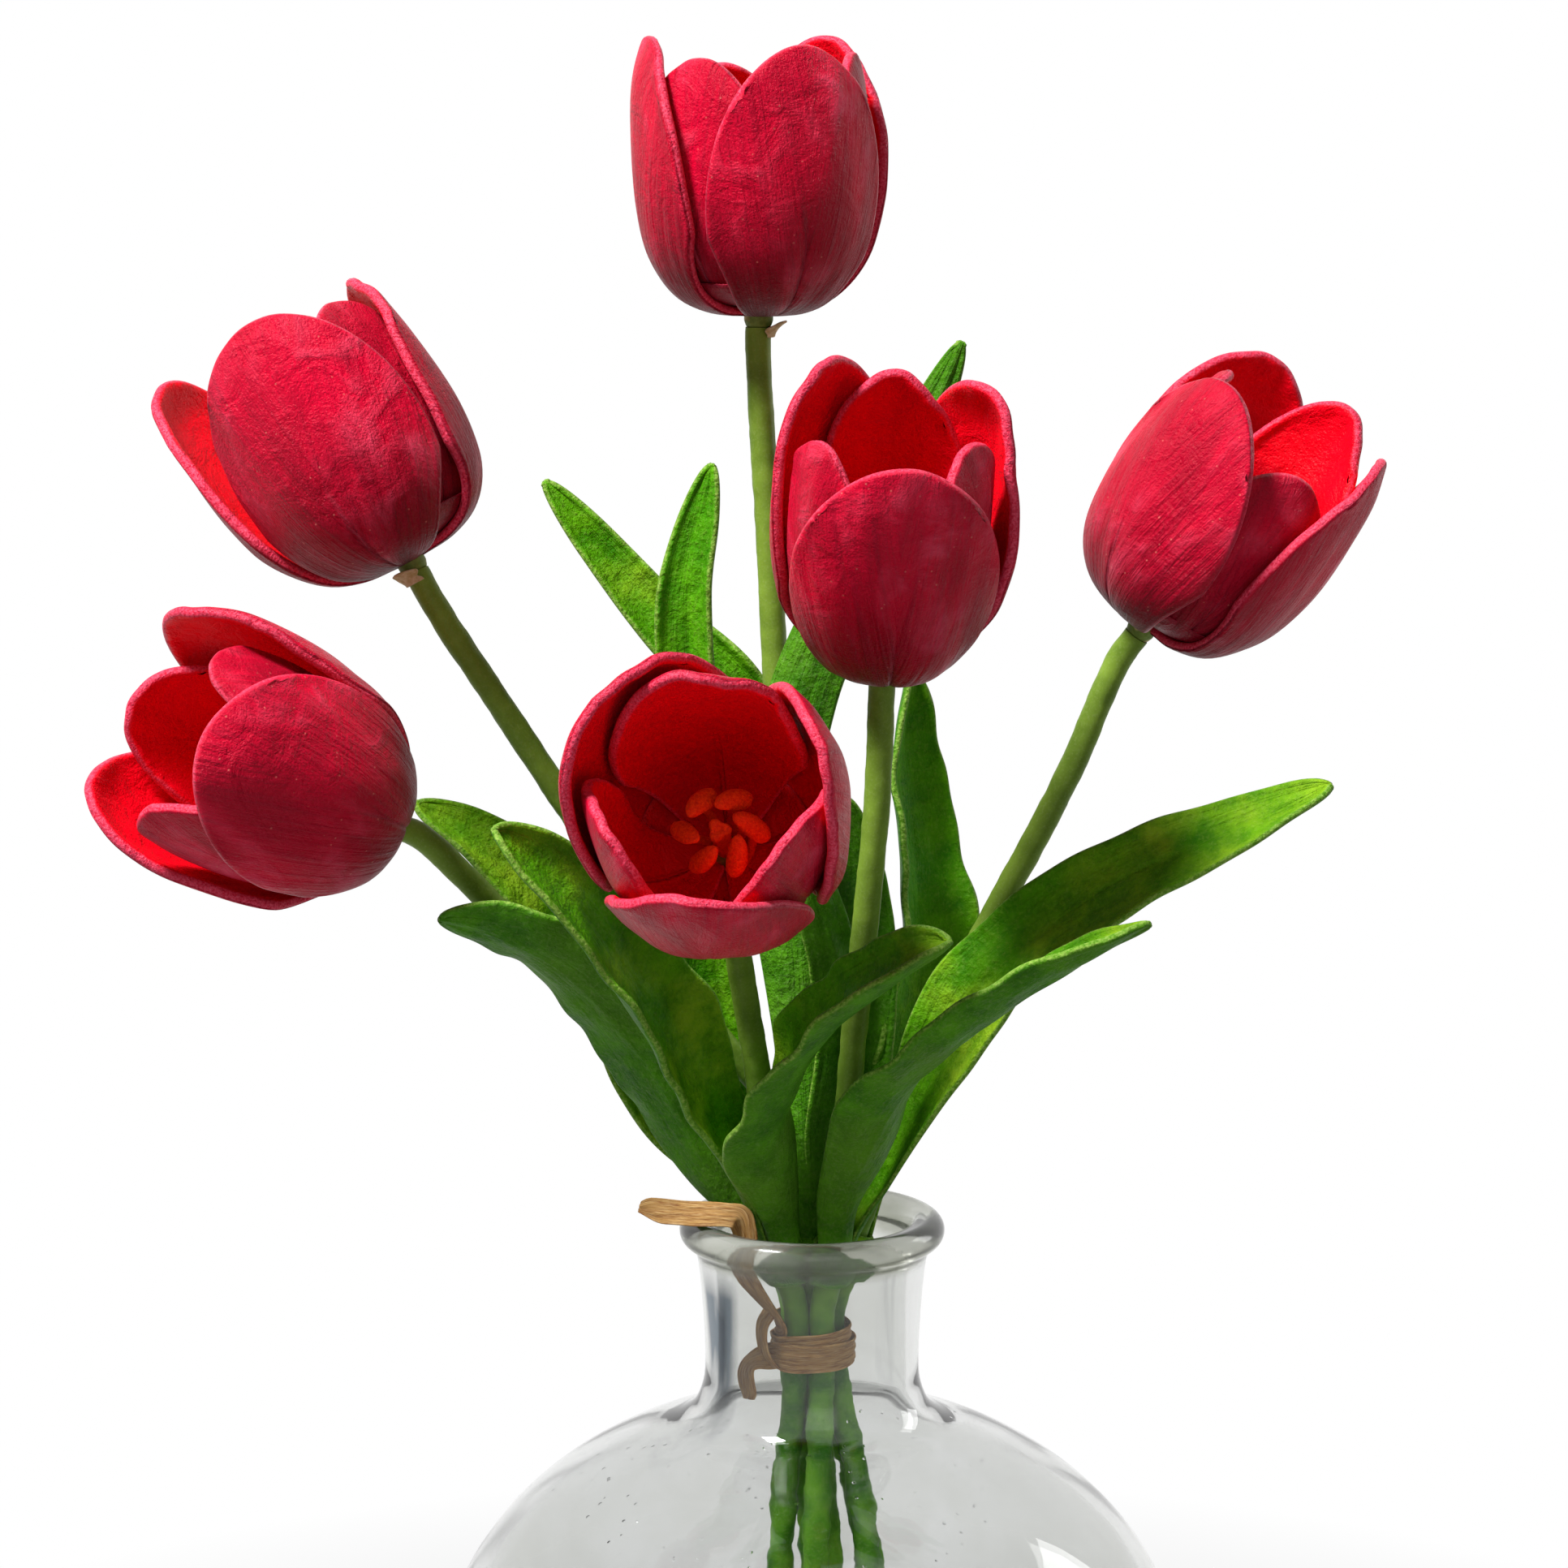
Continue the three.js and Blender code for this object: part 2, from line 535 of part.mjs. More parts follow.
function raffiaPoint(u, t, side) {
  const along = RAFFIA_LINE.getTangent(t);
  const face = RAFFIA_FACES.getPoint(t);
  face.addScaledVector(along, -face.dot(along)).normalize();
  const across = along.clone().cross(face);
  return RAFFIA_LINE.getPoint(t)
    .addScaledVector(across, (u * RAFFIA_WIDTH) / 2)
    .addScaledVector(face, (side * RAFFIA_THICKNESS) / 2);
}

// Least gap of the strip to itself, between places more than two widths apart along it.
function raffiaGap() {
  const samples = [];
  const count = 240;
  let run = 0;
  let last = RAFFIA_LINE.getPoint(0);
  for (let k = 0; k <= count; k += 1) {
    const here = RAFFIA_LINE.getPoint(k / count);
    run += here.distanceTo(last);
    last = here;
    for (const u of [-1, -0.5, 0, 0.5, 1]) samples.push({ run, at: raffiaPoint(u, k / count, 0) });
  }
  let least = Infinity;
  for (const a of samples) {
    for (const b of samples) {
      if (b.run - a.run > 2 * RAFFIA_WIDTH) least = Math.min(least, a.at.distanceTo(b.at));
    }
  }
  return least - RAFFIA_THICKNESS;
}

const group = new THREE.Group();

function add(name, geometry, colour, extra = {}) {
  const material = new THREE.MeshStandardMaterial({ color: colour, roughness: 0.5, ...extra });
  const mesh = new THREE.Mesh(geometry, material);
  mesh.name = name;
  group.add(mesh);
}

add('glass_bottle', bottle(), '#dfe6e4', { transparent: true, opacity: 0.35, roughness: 0.05 });
add('raffia_tie', sheet(1, 64, raffiaPoint), '#b98a55');
console.error(`raffia: least gap to itself ${raffiaGap().toFixed(2)} mm`);
for (const name of Object.keys(STEMS)) {
  add(`stem_${name}`, stem(name), '#6f8f3f');
  add(`leaves_${name}`, leafPair(name), '#3f8a1f');
}
for (const head of HEADS) {
  add(`core_${head.name}`, core(head), '#e0702a');
  head.outer.forEach((set, k) => {
    add(`petal_${head.name}_outer_${k + 1}`, petal(head, 0, set), '#b01030');
  });
  head.inner.forEach((set, k) => {
    add(`petal_${head.name}_inner_${k + 1}`, petal(head, PETAL_THICKNESS + WHORL_GAP, set), '#d01828');
  });
}

export default group;
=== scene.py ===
"""The look of six foam tulips tied with raffia, standing in a round clear glass bottle.

Sizes are in millimetres, made metres by MM. Only the camera's, lamps' and shaders' values are in
metres. +Z is up and the front faces -Y. The origin is the middle of the bottle's base.
"""
import math

import bpy
import numpy as np
from mathutils import Matrix, Vector


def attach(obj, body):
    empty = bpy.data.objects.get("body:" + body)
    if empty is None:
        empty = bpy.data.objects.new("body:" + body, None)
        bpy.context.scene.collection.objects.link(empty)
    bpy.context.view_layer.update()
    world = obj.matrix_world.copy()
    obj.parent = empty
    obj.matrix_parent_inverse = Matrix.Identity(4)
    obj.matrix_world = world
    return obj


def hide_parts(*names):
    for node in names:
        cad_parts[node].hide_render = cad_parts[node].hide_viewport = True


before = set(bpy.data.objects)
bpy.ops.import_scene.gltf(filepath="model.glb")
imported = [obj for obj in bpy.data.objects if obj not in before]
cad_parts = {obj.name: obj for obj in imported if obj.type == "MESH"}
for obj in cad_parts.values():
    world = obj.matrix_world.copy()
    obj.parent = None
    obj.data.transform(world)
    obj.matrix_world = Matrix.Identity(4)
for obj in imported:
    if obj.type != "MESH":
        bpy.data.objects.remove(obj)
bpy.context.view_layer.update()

MM = 0.001

# Bottle.
BOTTLE_HEIGHT = 131
BODY_RADIUS = 68.7
BODY_HALF_HEIGHT = 54
BODY_CENTRE_HEIGHT = 42.2
BASE_EDGE = 3
WALL = 2.8
FLOOR = 4.2
NECK_RADIUS = 19.6
NECK_WALL = 2.6
NECK_FLARE = 1.2
# Size of the sweep from the neck into the shoulder.
SHOULDER_FILLET = 8
LIP_RADIUS = 24
LIP_ROUND = 2.8

# Stems. Five stand round the middle one, on rings of these radii at the tie, the lip and the bottom.
CLEARANCE = 0.3
STEM_DIAMETER = 4.65
TIE_HEIGHT = 110
TIE_RING = STEM_DIAMETER + CLEARANCE
LIP_RING = 9.3
BOTTOM_RING = 9.3
BOTTOM_SHIFT = 3.4
BOTTOM_TWIST = -45
SPREAD_HEIGHT = 62
# How far the tie draws the stems, and itself, in from where the solids have them.
STEM_SQUEEZE = 1
RAFFIA_SQUEEZE = 1.45
# Height of the small bumps in a stem's coat, what it grows to low down, and where it starts to, in metres.
STEM_BUMPS = 0.0006
LOW_BUMPS = 0.006
LOW_HEIGHT = 0.125

# Raffia.
RAFFIA_WIDTH = 5.2
RAFFIA_THICKNESS = 0.5
RAFFIA_TURN_GAP = 0.25
RAFFIA_STEP = RAFFIA_THICKNESS + RAFFIA_TURN_GAP
RAFFIA_START = TIE_RING + STEM_DIAMETER / 2 + CLEARANCE + RAFFIA_THICKNESS / 2 - RAFFIA_SQUEEZE
RAFFIA_TURNS = 2
RAFFIA_FIRST = -150
# Millimetres of strip to one unit of its along value.
RAFFIA_GRAIN = 12

# Leaves.
LEAF_THICKNESS = 1.1
SHEATH_WALL = 0.9
SHEATH_LENGTH = 5
SHEATH_DEPTH = 9
SHEATH_RISE = 4.5
SHEATH_WRAP = 64
SHEATH_CLEARANCE = 0.5
SHEATH_RADIUS = STEM_DIAMETER / 2 + SHEATH_CLEARANCE + SHEATH_WALL / 2

# Flower heads.
PETAL_THICKNESS = 1.8
WHORL_GAP = 1.1
HEAD_LENGTH = 49
HEAD_RADIUS = 21.9
PETAL_HALF_ANGLE = 49
PETAL_WIDEST = 0.42
PLUG_RADIUS = 2.6
PLUG_BELOW = 2
PLUG_ABOVE = 5
PISTIL_RADIUS = 1.7
PISTIL_LENGTH = 21
ANTHER_RADIUS = 1.8
ANTHER_LENGTH = 6
THREAD_RADIUS = 0.75
STAMENS = 6
STAMEN_RING = 5.3
STAMEN_HEIGHT = 17
STAMEN_LEAN = 0.45

# Heads with a torn scrap of the stem's sleeve under them, and its turn round the head.
SLEEVE_FLAPS = {"top": -15, "upper_left": -125, "lower_left": 60}

# How fine the meshes are: columns across and rows along a sheet, sides round a turned piece.
BOTTLE_SIDES = 144
BOWL_STEPS = 60
LIP_STEPS = 22
PETAL_COLUMNS = 40
PETAL_ROWS = 52
CUP_SIDES = 48
PLUG_SIDES = 28
PISTIL_SIDES = 36
STAMEN_SIDES = 12
THREAD_STEPS = 9
ANTHER_STEPS = 13
FLAP_COLUMNS = 8
FLAP_ROWS = 12
STEM_SIDES = 20
STEM_STEP = 0.8
LEAF_COLUMNS = 22
LEAF_ROWS = 120
SHEATH_COLUMNS = 40
SHEATH_ROWS = 7
RAFFIA_COLUMNS = 18
RAFFIA_STEPS = 12
TURN_STEPS = 20
KNOT_COLUMNS = 12
STRIP_RIM = 4

# Camera and room. The world's light is what the object gets from it, not what the camera sees.
CAMERA_PLACE = (-0.00507, -0.8, 0.3422)
CAMERA_PITCH = 9.4
CAMERA_LENS = 104.5
CAMERA_SENSOR = 36
WORLD_LIGHT = 0.045
FLOOR_GREY = 0.3
FLOOR_HALF = 4000
SEES_WHITE = ("Is Camera Ray", "Is Glossy Ray", "Is Transmission Ray")

# Base is where a head sits on its stem, in millimetres over the lip, and tip the way that it looks.
# Each petal has its turn round the head, the angle that it leans out, its width and its length.
HEADS = [
    {"name": "top", "base": [-9.6, 15, 161], "tip": [0, 0, 1],
     "outer": [[-66, 0, 1, 0.97], [55, 1], [187, 0]],
     "inner": [[-8, 0], [115, -1, 1, 0.96], [-127, 0, 1, 0.98]]},
    {"name": "upper_left", "base": [-71, 0, 118.6], "tip": [-0.47, 0.08, 0.87],
     "outer": [[-102, -3, 1.2], [20, -5], [154, 10]],
     "inner": [[-36, -5], [80, -5, 1, 0.95], [200, -4, 1, 0.92]]},
    {"name": "right", "base": [58.9, 5, 106.4], "tip": [0.55, -0.12, 0.82], "girth": 0.94,
     "outer": [[-139, 0, 1.1, 0.93], [-12, 0, 1.1], [105, 2, 1.1, 1.03]],
     "inner": [[-70, -1, 1, 0.84], [51, 0, 1, 1.12], [170, -2]]},
    {"name": "centre", "base": [12, -25, 104.5], "tip": [0.03, -0.42, 0.91], "girth": 0.9,
     "outer": [[-86, -2, 1.24, 0.95], [35, 1], [136, -1, 1.06, 1.06]],
     "inner": [[-28, -1], [90, 0, 1, 1.05], [-148, -1]]},
    {"name": "front", "base": [-14.5, -35, 72], "tip": [-0.09, -0.9, 0.43],
     "outer": [[-97, 2, 1.06], [14, 1, 1.1], [139, 2, 1.36, 1.03]],
     "inner": [[-42, 1, 1.1], [91, 1, 1.2, 1.04], [206, 1, 1.06]]},
    {"name": "lower_left", "base": [-75, -15, 74.5], "tip": [-0.76, -0.47, 0.42], "girth": 0.97,
     "outer": [[-58, -1, 1.22, 0.96], [53, 3, 1.06], [168, 1]],
     "inner": [[-5, -1], [110, 1], [-125, -1]]},
]

# Turn is the place in the ring of five at the tie, above are points over the lip.
STEMS = {
    "top": {"turn": None, "above": [[-2, 4, 43], [-6, 9, 87], [-8, 13, 125]]},
    "upper_left": {"turn": 82, "above": [[-5, 11, 15], [-21, 8.5, 36], [-44, 5, 74]]},
    "right": {"turn": 10, "above": [[20, 3, 30], [32, 4, 53], [46, 5, 80]]},
    "centre": {"turn": -62, "above": [[7, -12, 32], [9, -17, 55], [11, -21, 78]]},
    "front": {"turn": -134, "above": [[-10, -13, 31], [-12.5, -20, 48], [-14, -27, 62]]},
    "lower_left": {"turn": 154, "above": [[-26, 5, 20], [-43, -1, 41]]},
}

# Side is where a blade leaves its stem, seen from above, wide its greatest half width and bend half the
# angle of its hollow. Path is its middle line over the lip, middle and end the ways that its hollow inner
# face looks there. Full is the share of its length at which it is widest, blunt how round its tip is.
LEAVES = {
    "top": [
        {"side": -110, "wide": 6.6, "bend": 35,
         "path": [[-2, -4, 15], [-4, -3, 45], [-6, -2, 71], [-2, -2, 95], [8, -2, 118], [26, 0, 157]],
         "middle": [0.2, 1, 0], "end": [0.3, 1, 0.2]},
        {"side": -30, "wide": 4.6, "bend": 30,
         "path": [[2, -3, 15], [5, -6, 32], [4, -10, 48], [1, -14, 60], [-5, -18, 77], [-13, -21, 100]],
         "middle": [-0.5, 1, 0], "end": [-0.5, 1, 0.2]},
    ],
    "upper_left": [
        {"side": 60, "wide": 6.8, "bend": 40,
         "path": [[1, 19, 20], [-3, 24, 45], [-7, 27, 69], [-14, 31, 90], [-27, 33, 103], [-49, 36, 129]],
         "middle": [0, -1, 0.1], "end": [0.3, -1, 0.3]},
        {"side": 110, "wide": 6.6, "bend": 45, "blunt": 4,
         "path": [[-9, 15.5, 14], [-16, 18, 34], [-21, 18, 71], [-22, 17, 93], [-22, 16, 111],
                  [-18, 16, 134]],
         "middle": [-0.2, -1, 0], "end": [-0.5, -0.8, 0]},
    ],
    "right": [
        {"side": 76, "wide": 11.5, "bend": 52,
         "path": [[12, 10, 10], [18, 16, 28], [20, 21, 45], [19, 25, 60], [17, 27, 80], [18, 28, 95]],
         "middle": [0.7, -0.7, 0], "end": [0.8, -0.5, 0]},
        {"side": -170, "wide": 6.5, "bend": 35,
         "path": [[6, 5, 10], [7, 8, 20], [9, 10, 35], [9, 11, 50], [8, 12, 62], [6, 12, 74]],
         "middle": [0.5, 1, 0], "end": [0.4, 1, 0]},
    ],
    "centre": [
        {"side": 30, "wide": 9.2, "bend": 28,
         "path": [[12, -3, 5], [17, -4, 16], [23, -5, 30], [30, -7, 43], [43, -9, 55], [57, -10, 64],
                  [91, -10, 80]],
         "middle": [-0.2, -0.7, 0.7], "end": [-0.2, -0.6, 0.8]},
        {"side": -80, "wide": 9.5, "bend": 52,
         "path": [[5, -14, 5], [9, -19, 15], [15, -26, 28], [26, -33, 40], [40, -38, 51], [57, -40, 61]],
         "middle": [-0.4, 0.3, 0.9], "end": [-0.3, 0.1, 1]},
    ],
    "front": [
        {"side": 170, "wide": 11.5, "bend": 50,
         "path": [[-12.5, -7.5, 6], [-17, -13, 17], [-24, -20, 34], [-32, -29, 49], [-41, -37, 64],
                  [-54, -43, 78]],
         "middle": [0.55, -0.6, 0.55], "end": [0.6, -0.6, 0.5]},
        {"side": -60, "wide": 12, "bend": 56, "full": 0.42, "blunt": 3,
         "path": [[-5, -13, 6], [-6, -21, 19], [-2, -30, 34], [6, -39, 46], [15, -44, 54], [23, -45, 59]],
         "middle": [-0.64, -0.2, 0.76], "end": [-0.45, -0.4, 1]},
    ],
    "lower_left": [
        {"side": -100, "wide": 10.5, "bend": 32, "blunt": 3,
         "path": [[-16, -1, 5], [-22, -3, 16], [-30, -8, 31], [-41, -13, 45], [-53, -17, 54],
                  [-65, -19, 58]],
         "middle": [0.3, 0.8, 0.5], "end": [0.3, 0.7, 0.7]},
        {"side": 95, "wide": 8.5, "bend": 28,
         "path": [[-14, 10, 4], [-24, 12, 14], [-33, 11, 32], [-44, 8, 51], [-58, 6, 66], [-71, 6, 74]],
         "middle": [0.2, -0.9, 0.6], "end": [0.3, -0.8, 0.7]},
    ],
}


# Small sums.
def over(point):
    """A point given by its height over the lip."""
    return [point[0], point[1], BOTTLE_HEIGHT + point[2]]


def unit(vectors):
    """Each vector made one long."""
    vectors = np.asarray(vectors, float)
    return vectors / np.maximum(np.linalg.norm(vectors, axis=-1, keepdims=True), 1e-9)


def smooth(value, low, high):
    """A value eased from 0 at low to 1 at high."""
    t = np.clip((value - low) / (high - low), 0, 1)
    return t * t * (3 - 2 * t)


def lerp(a, b, t):
    """From one value to the other by a share."""
    return a + (b - a) * t


def across_of(vectors, along):
    """The part of each vector that is square to its line."""
    return unit(vectors - along * np.sum(vectors * along, axis=-1, keepdims=True))


class Route:
    """A smooth curve through points, with steps between each two, read by its share of length."""

    def __init__(self, points, steps=60):
        points = np.array(points, float)
        held = np.vstack([2 * points[0] - points[1], points, 2 * points[-1] - points[-2]])
        gaps = np.sqrt(np.linalg.norm(np.diff(held, axis=0), axis=1))
        t = np.linspace(0, 1, steps, endpoint=False)[:, None]
        line = []
        for k in range(len(points) - 1):
            p0, p1, p2, p3 = held[k:k + 4]
            d0, d1, d2 = gaps[k:k + 3]
            m1 = ((p1 - p0) / d0 - (p2 - p0) / (d0 + d1) + (p2 - p1) / d1) * d1
            m2 = ((p2 - p1) / d1 - (p3 - p1) / (d1 + d2) + (p3 - p2) / d2) * d1
            square = 3 * (p2 - p1) - 2 * m1 - m2
            cube = 2 * (p1 - p2) + m1 + m2
            line.append(p1 + m1 * t + square * t ** 2 + cube * t ** 3)
        line.append(points[-1:])
        self.line = np.vstack(line)
        run = np.r_[0, np.cumsum(np.linalg.norm(np.diff(self.line, axis=0), axis=1))]
        self.length = run[-1]
        self.share = run / run[-1]

    def at(self, share):
        """The point at a share of the length, or a row of points."""
        return np.stack([np.interp(share, self.share, c) for c in self.line.T], axis=-1)

    def along(self, share, step=0.004):
        """The way that the curve runs there."""
        share = np.asarray(share, float)
        return unit(self.at(np.minimum(share + step, 1)) - self.at(np.maximum(share - step, 0)))

    def share_at_height(self, z):
        """Where a rising curve passes a height."""
        return float(np.interp(z, self.line[:, 2], self.share))


# Meshes.
def piece(name, corners, faces, finish, **values):
    """A smooth mesh object from corners in millimetres, with a value for each corner under each name."""
    mesh = bpy.data.meshes.new(name)
    mesh.from_pydata((np.asarray(corners) * MM).tolist(), [], [list(map(int, f)) for f in faces])
    mesh.polygons.foreach_set("use_smooth", [True] * len(mesh.polygons))
    for key, data in values.items():
        layer = mesh.attributes.new(key, "FLOAT", "POINT")
        layer.data.foreach_set("value", np.broadcast_to(np.asarray(data, float), len(corners)).copy())
    mesh.materials.append(finish)
    mesh.update()
    made = bpy.data.objects.new(name, mesh)
    bpy.context.scene.collection.objects.link(made)
    return made


def slab(middle, half, u, v, rim=6):
    """A closed sheet with a round edge. Middle is a grid of points and half its half thickness.

    Side is 1 on the face that across times along points to, -1 on the other and between them on the edge.
    """
    normal = unit(np.cross(np.gradient(middle, axis=1), np.gradient(middle, axis=0)))
    for row, near in ((0, 1), (-1, -2)):
        normal[row, 0] = normal[near, 1]
        normal[row, -1] = normal[near, -2]
    index = np.arange(u.size).reshape(u.shape)
    quads = np.stack([index[:-1, :-1], index[:-1, 1:], index[1:, 1:], index[1:, :-1]], -1).reshape(-1, 4)
    loop = np.r_[index[0, :-1], index[:-1, -1], index[-1, :0:-1], index[:0:-1, 0]]
    flat = middle.reshape(-1, 3)
    flat_normal = normal.reshape(-1, 3)
    flat_half = np.broadcast_to(half, u.shape).reshape(-1, 1)
    edge = flat[loop]
    outward = unit(np.cross(np.roll(edge, -1, 0) - np.roll(edge, 1, 0), flat_normal[loop]))
    corners = [flat + flat_normal * flat_half, flat - flat_normal * flat_half]
    side = [np.ones(u.size), -np.ones(u.size)]
    across = [u.ravel(), u.ravel()]
    along = [v.ravel(), v.ravel()]
    rings = [loop]
    for k in range(1, rim):
        a = math.pi * k / rim
        rings.append(2 * u.size + (k - 1) * len(loop) + np.arange(len(loop)))
        corners.append(edge + (flat_normal[loop] * math.cos(a) + outward * math.sin(a)) * flat_half[loop])
        side.append(np.full(len(loop), math.cos(a)))
        across.append(u.ravel()[loop])
        along.append(v.ravel()[loop])
    rings.append(loop + u.size)
    faces = [quads, quads[:, ::-1] + u.size]
    for one, two in zip(rings, rings[1:]):
        faces.append(np.stack([np.roll(one, -1), one, two, np.roll(two, -1)], -1))
    return {
        "corners": np.vstack(corners), "faces": np.vstack(faces),
        "side": np.concatenate(side), "across": np.concatenate(across), "along": np.concatenate(along),
    }


def grid(columns, rows):
    """Values across from -1 to 1 and along the rows."""
    return np.meshgrid(np.linspace(-1, 1, columns + 1), rows)


def join_sheets(name, sheets, finish, seeds):
    """One object from several closed sheets."""
    corners = []
    faces = []
    start = 0
    for one in sheets:
        corners.append(one["corners"])
        faces.append(one["faces"] + start)
        start += len(one["corners"])
    values = {key: np.concatenate([one[key] for one in sheets]) for key in ("side", "across", "along")}
    seed = np.concatenate([np.full(len(one["corners"]), s) for one, s in zip(sheets, seeds)])
    return piece(name, np.vstack(corners), np.vstack(faces), finish, seed=seed, **values)


def revolve(profile, segments):
    """Corners and faces of a profile turned about Z. Its ends lie on the axis."""
    profile = np.array(profile, float)
    turns = np.linspace(0, 2 * math.pi, segments, endpoint=False)
    inner = profile[1:-1]
    ring = np.stack([np.cos(turns), np.sin(turns)], -1)
    corners = [np.array([[0, 0, profile[0][1]]])]
    for r, z in inner:
        corners.append(np.column_stack([ring * r, np.full(segments, z)]))
    corners.append(np.array([[0, 0, profile[-1][1]]]))
    corners = np.vstack(corners)
    last = len(corners) - 1
    faces = []
    for s in range(segments):
        n = (s + 1) % segments
        faces.append([0, 1 + n, 1 + s])
        for k in range(len(inner) - 1):
            a = 1 + k * segments
            b = a + segments
            faces.append([a + s, a + n, b + n, b + s])
        a = 1 + (len(inner) - 1) * segments
        faces.append([last, a + s, a + n])
    return corners, faces


def tree_node(tree, kind, links=(), **settings):
    """Adds a node to a tree, with its settings and then its inputs."""
    made = tree.nodes.new(kind)
    for key, value in settings.items():
        setattr(made, key, value)
    for socket, value in links:
        if isinstance(value, bpy.types.NodeSocket):
            tree.links.new(value, made.inputs[socket])
        else:
            made.inputs[socket].default_value = value
    return made


def tree_inputs(tree, kind, **values):
    """Adds inputs of one kind to a tree, each under its name and with its usual value."""
    for name, value in values.items():
        label = name.replace("_", " ")
        socket = tree.interface.new_socket(label, in_out="INPUT", socket_type="NodeSocket" + kind)
        if value is not None:
            socket.default_value = value


def set_inputs(modifier, tree, **values):
    """Sets a modifier's inputs by the sockets' identifiers, from values under the sockets' names."""
    for socket in tree.interface.items_tree:
        key = socket.name.replace(" ", "_")
        if socket.in_out == "INPUT" and key in values:
            modifier[socket.identifier] = values[key]


def keep_as_mesh(holder, name):
    """The evaluated holder as a plain mesh object, and the holder gone."""
    graph = bpy.context.evaluated_depsgraph_get()
    grown = holder.evaluated_get(graph)
    mesh = bpy.data.meshes.new_from_object(grown, preserve_all_data_layers=True, depsgraph=graph)
    mesh.name = name
    bpy.data.objects.remove(holder, do_unlink=True)
    mesh.polygons.foreach_set("use_smooth", [True] * len(mesh.polygons))
    made = bpy.data.objects.new(name, mesh)
    bpy.context.scene.collection.objects.link(made)
    return made


# Finishes.
def paint(code):
    """A colour written as on a screen, as the shader takes it."""
    parts = [int(code[k:k + 2], 16) / 255 for k in (1, 3, 5)]
    return [c / 12.92 if c <= 0.04045 else ((c + 0.055) / 1.055) ** 2.4 for c in parts] + [1]


class Finish:
    """A procedural material, with a short call for each kind of node."""

    def __init__(self, name, **surface):
        self.material = bpy.data.materials.new(name)
        self.material.use_nodes = True
        self.tree = self.material.node_tree
        self.surface = self.tree.nodes["Principled BSDF"]
        self.out = self.tree.nodes["Material Output"]
        for socket, value in surface.items():
            self.put(self.surface, socket.replace("_", " "), value)

    def put(self, node, socket, value):
        """Links a socket to a value that varies, or sets one that doesn't."""
        if isinstance(value, bpy.types.NodeSocket):
            self.tree.links.new(value, node.inputs[socket])
        else:
            node.inputs[socket].default_value = value

    def node(self, kind, inputs, output=0, **settings):
        made = self.tree.nodes.new("ShaderNode" + kind)
        for key, value in settings.items():
            setattr(made, key, value)
        for socket, value in inputs.items():
            self.put(made, socket, value)
        return made.outputs[output]

    def value(self, name):
        """The piece's own value under this name."""
        return self.node("Attribute", {}, "Fac", attribute_name=name)

    def place(self):
        return self.node("TexCoord", {}, "Object")

    def vector(self, x, y, z):
        return self.node("CombineXYZ", {0: x, 1: y, 2: z})

    def sum(self, kind, a, b=0.0):
        return self.node("Math", {0: a, 1: b}, operation=kind)

    def times(self, a, b):
        return self.sum("MULTIPLY", a, b)

    def plus(self, a, b):
        return self.sum("ADD", a, b)

    def minus(self, a, b):
        return self.sum("SUBTRACT", a, b)

    def stretch(self, vector, scale):
        return self.node("Mapping", {"Vector": vector, "Scale": scale})

    def noise(self, vector, scale, detail=4.0, rough=0.55, distort=0.0):
        inputs = {"Vector": vector, "Scale": scale, "Detail": detail, "Roughness": rough,
                  "Distortion": distort}
        return self.node("TexNoise", inputs, "Fac")

    def cells(self, scale):
        """How far the nearest of many scattered points is."""
        return self.node("TexVoronoi", {"Vector": self.place(), "Scale": scale}, "Distance")

    def span(self, value, low, high, start=0.0, end=1.0):
        """A value from low to high, made start to end and held there."""
        inputs = {"Value": value, "From Min": low, "From Max": high, "To Min": start, "To Max": end}
        return self.node("MapRange", inputs)

    def mix(self, factor, one, two):
        made = self.tree.nodes.new("ShaderNodeMix")
        made.data_type = "RGBA"
        self.put(made, 0, factor)
        self.put(made, 6, one)
        self.put(made, 7, two)
        return made.outputs[2]

    def blend(self, value, low, high, one, two):
        """From one colour to the other as a value goes from low to high."""
        return self.mix(self.span(value, low, high), paint(one), paint(two))

    def tint(self, under, code, value, low, high, share=1.0):
        """A colour laid over another, up to a share, as a value goes from low to high."""
        return self.mix(self.span(value, low, high, 0.0, share), under, paint(code))

    def sheet_colour(self, front, back, edge):
        """Front where a sheet's side is 1, back where it is -1, and its cut edge between them."""
        side = self.value("side")
        front = self.mix(self.span(side, 0.6, 0.92), edge, front)
        return self.mix(self.span(side, -0.6, -0.92), front, back)

    def bump(self, height, distance, strength=1.0, under=None):
        inputs = {"Height": height, "Distance": distance, "Strength": strength}
        if under is not None:
            inputs["Normal"] = under
        return self.node("Bump", inputs)

    def coat(self, **parts):
        """Sets the shader's inputs from nodes and gives the finished material."""
        for socket, value in parts.items():
            self.put(self.surface, socket.replace("_", " "), value)
        return self.material


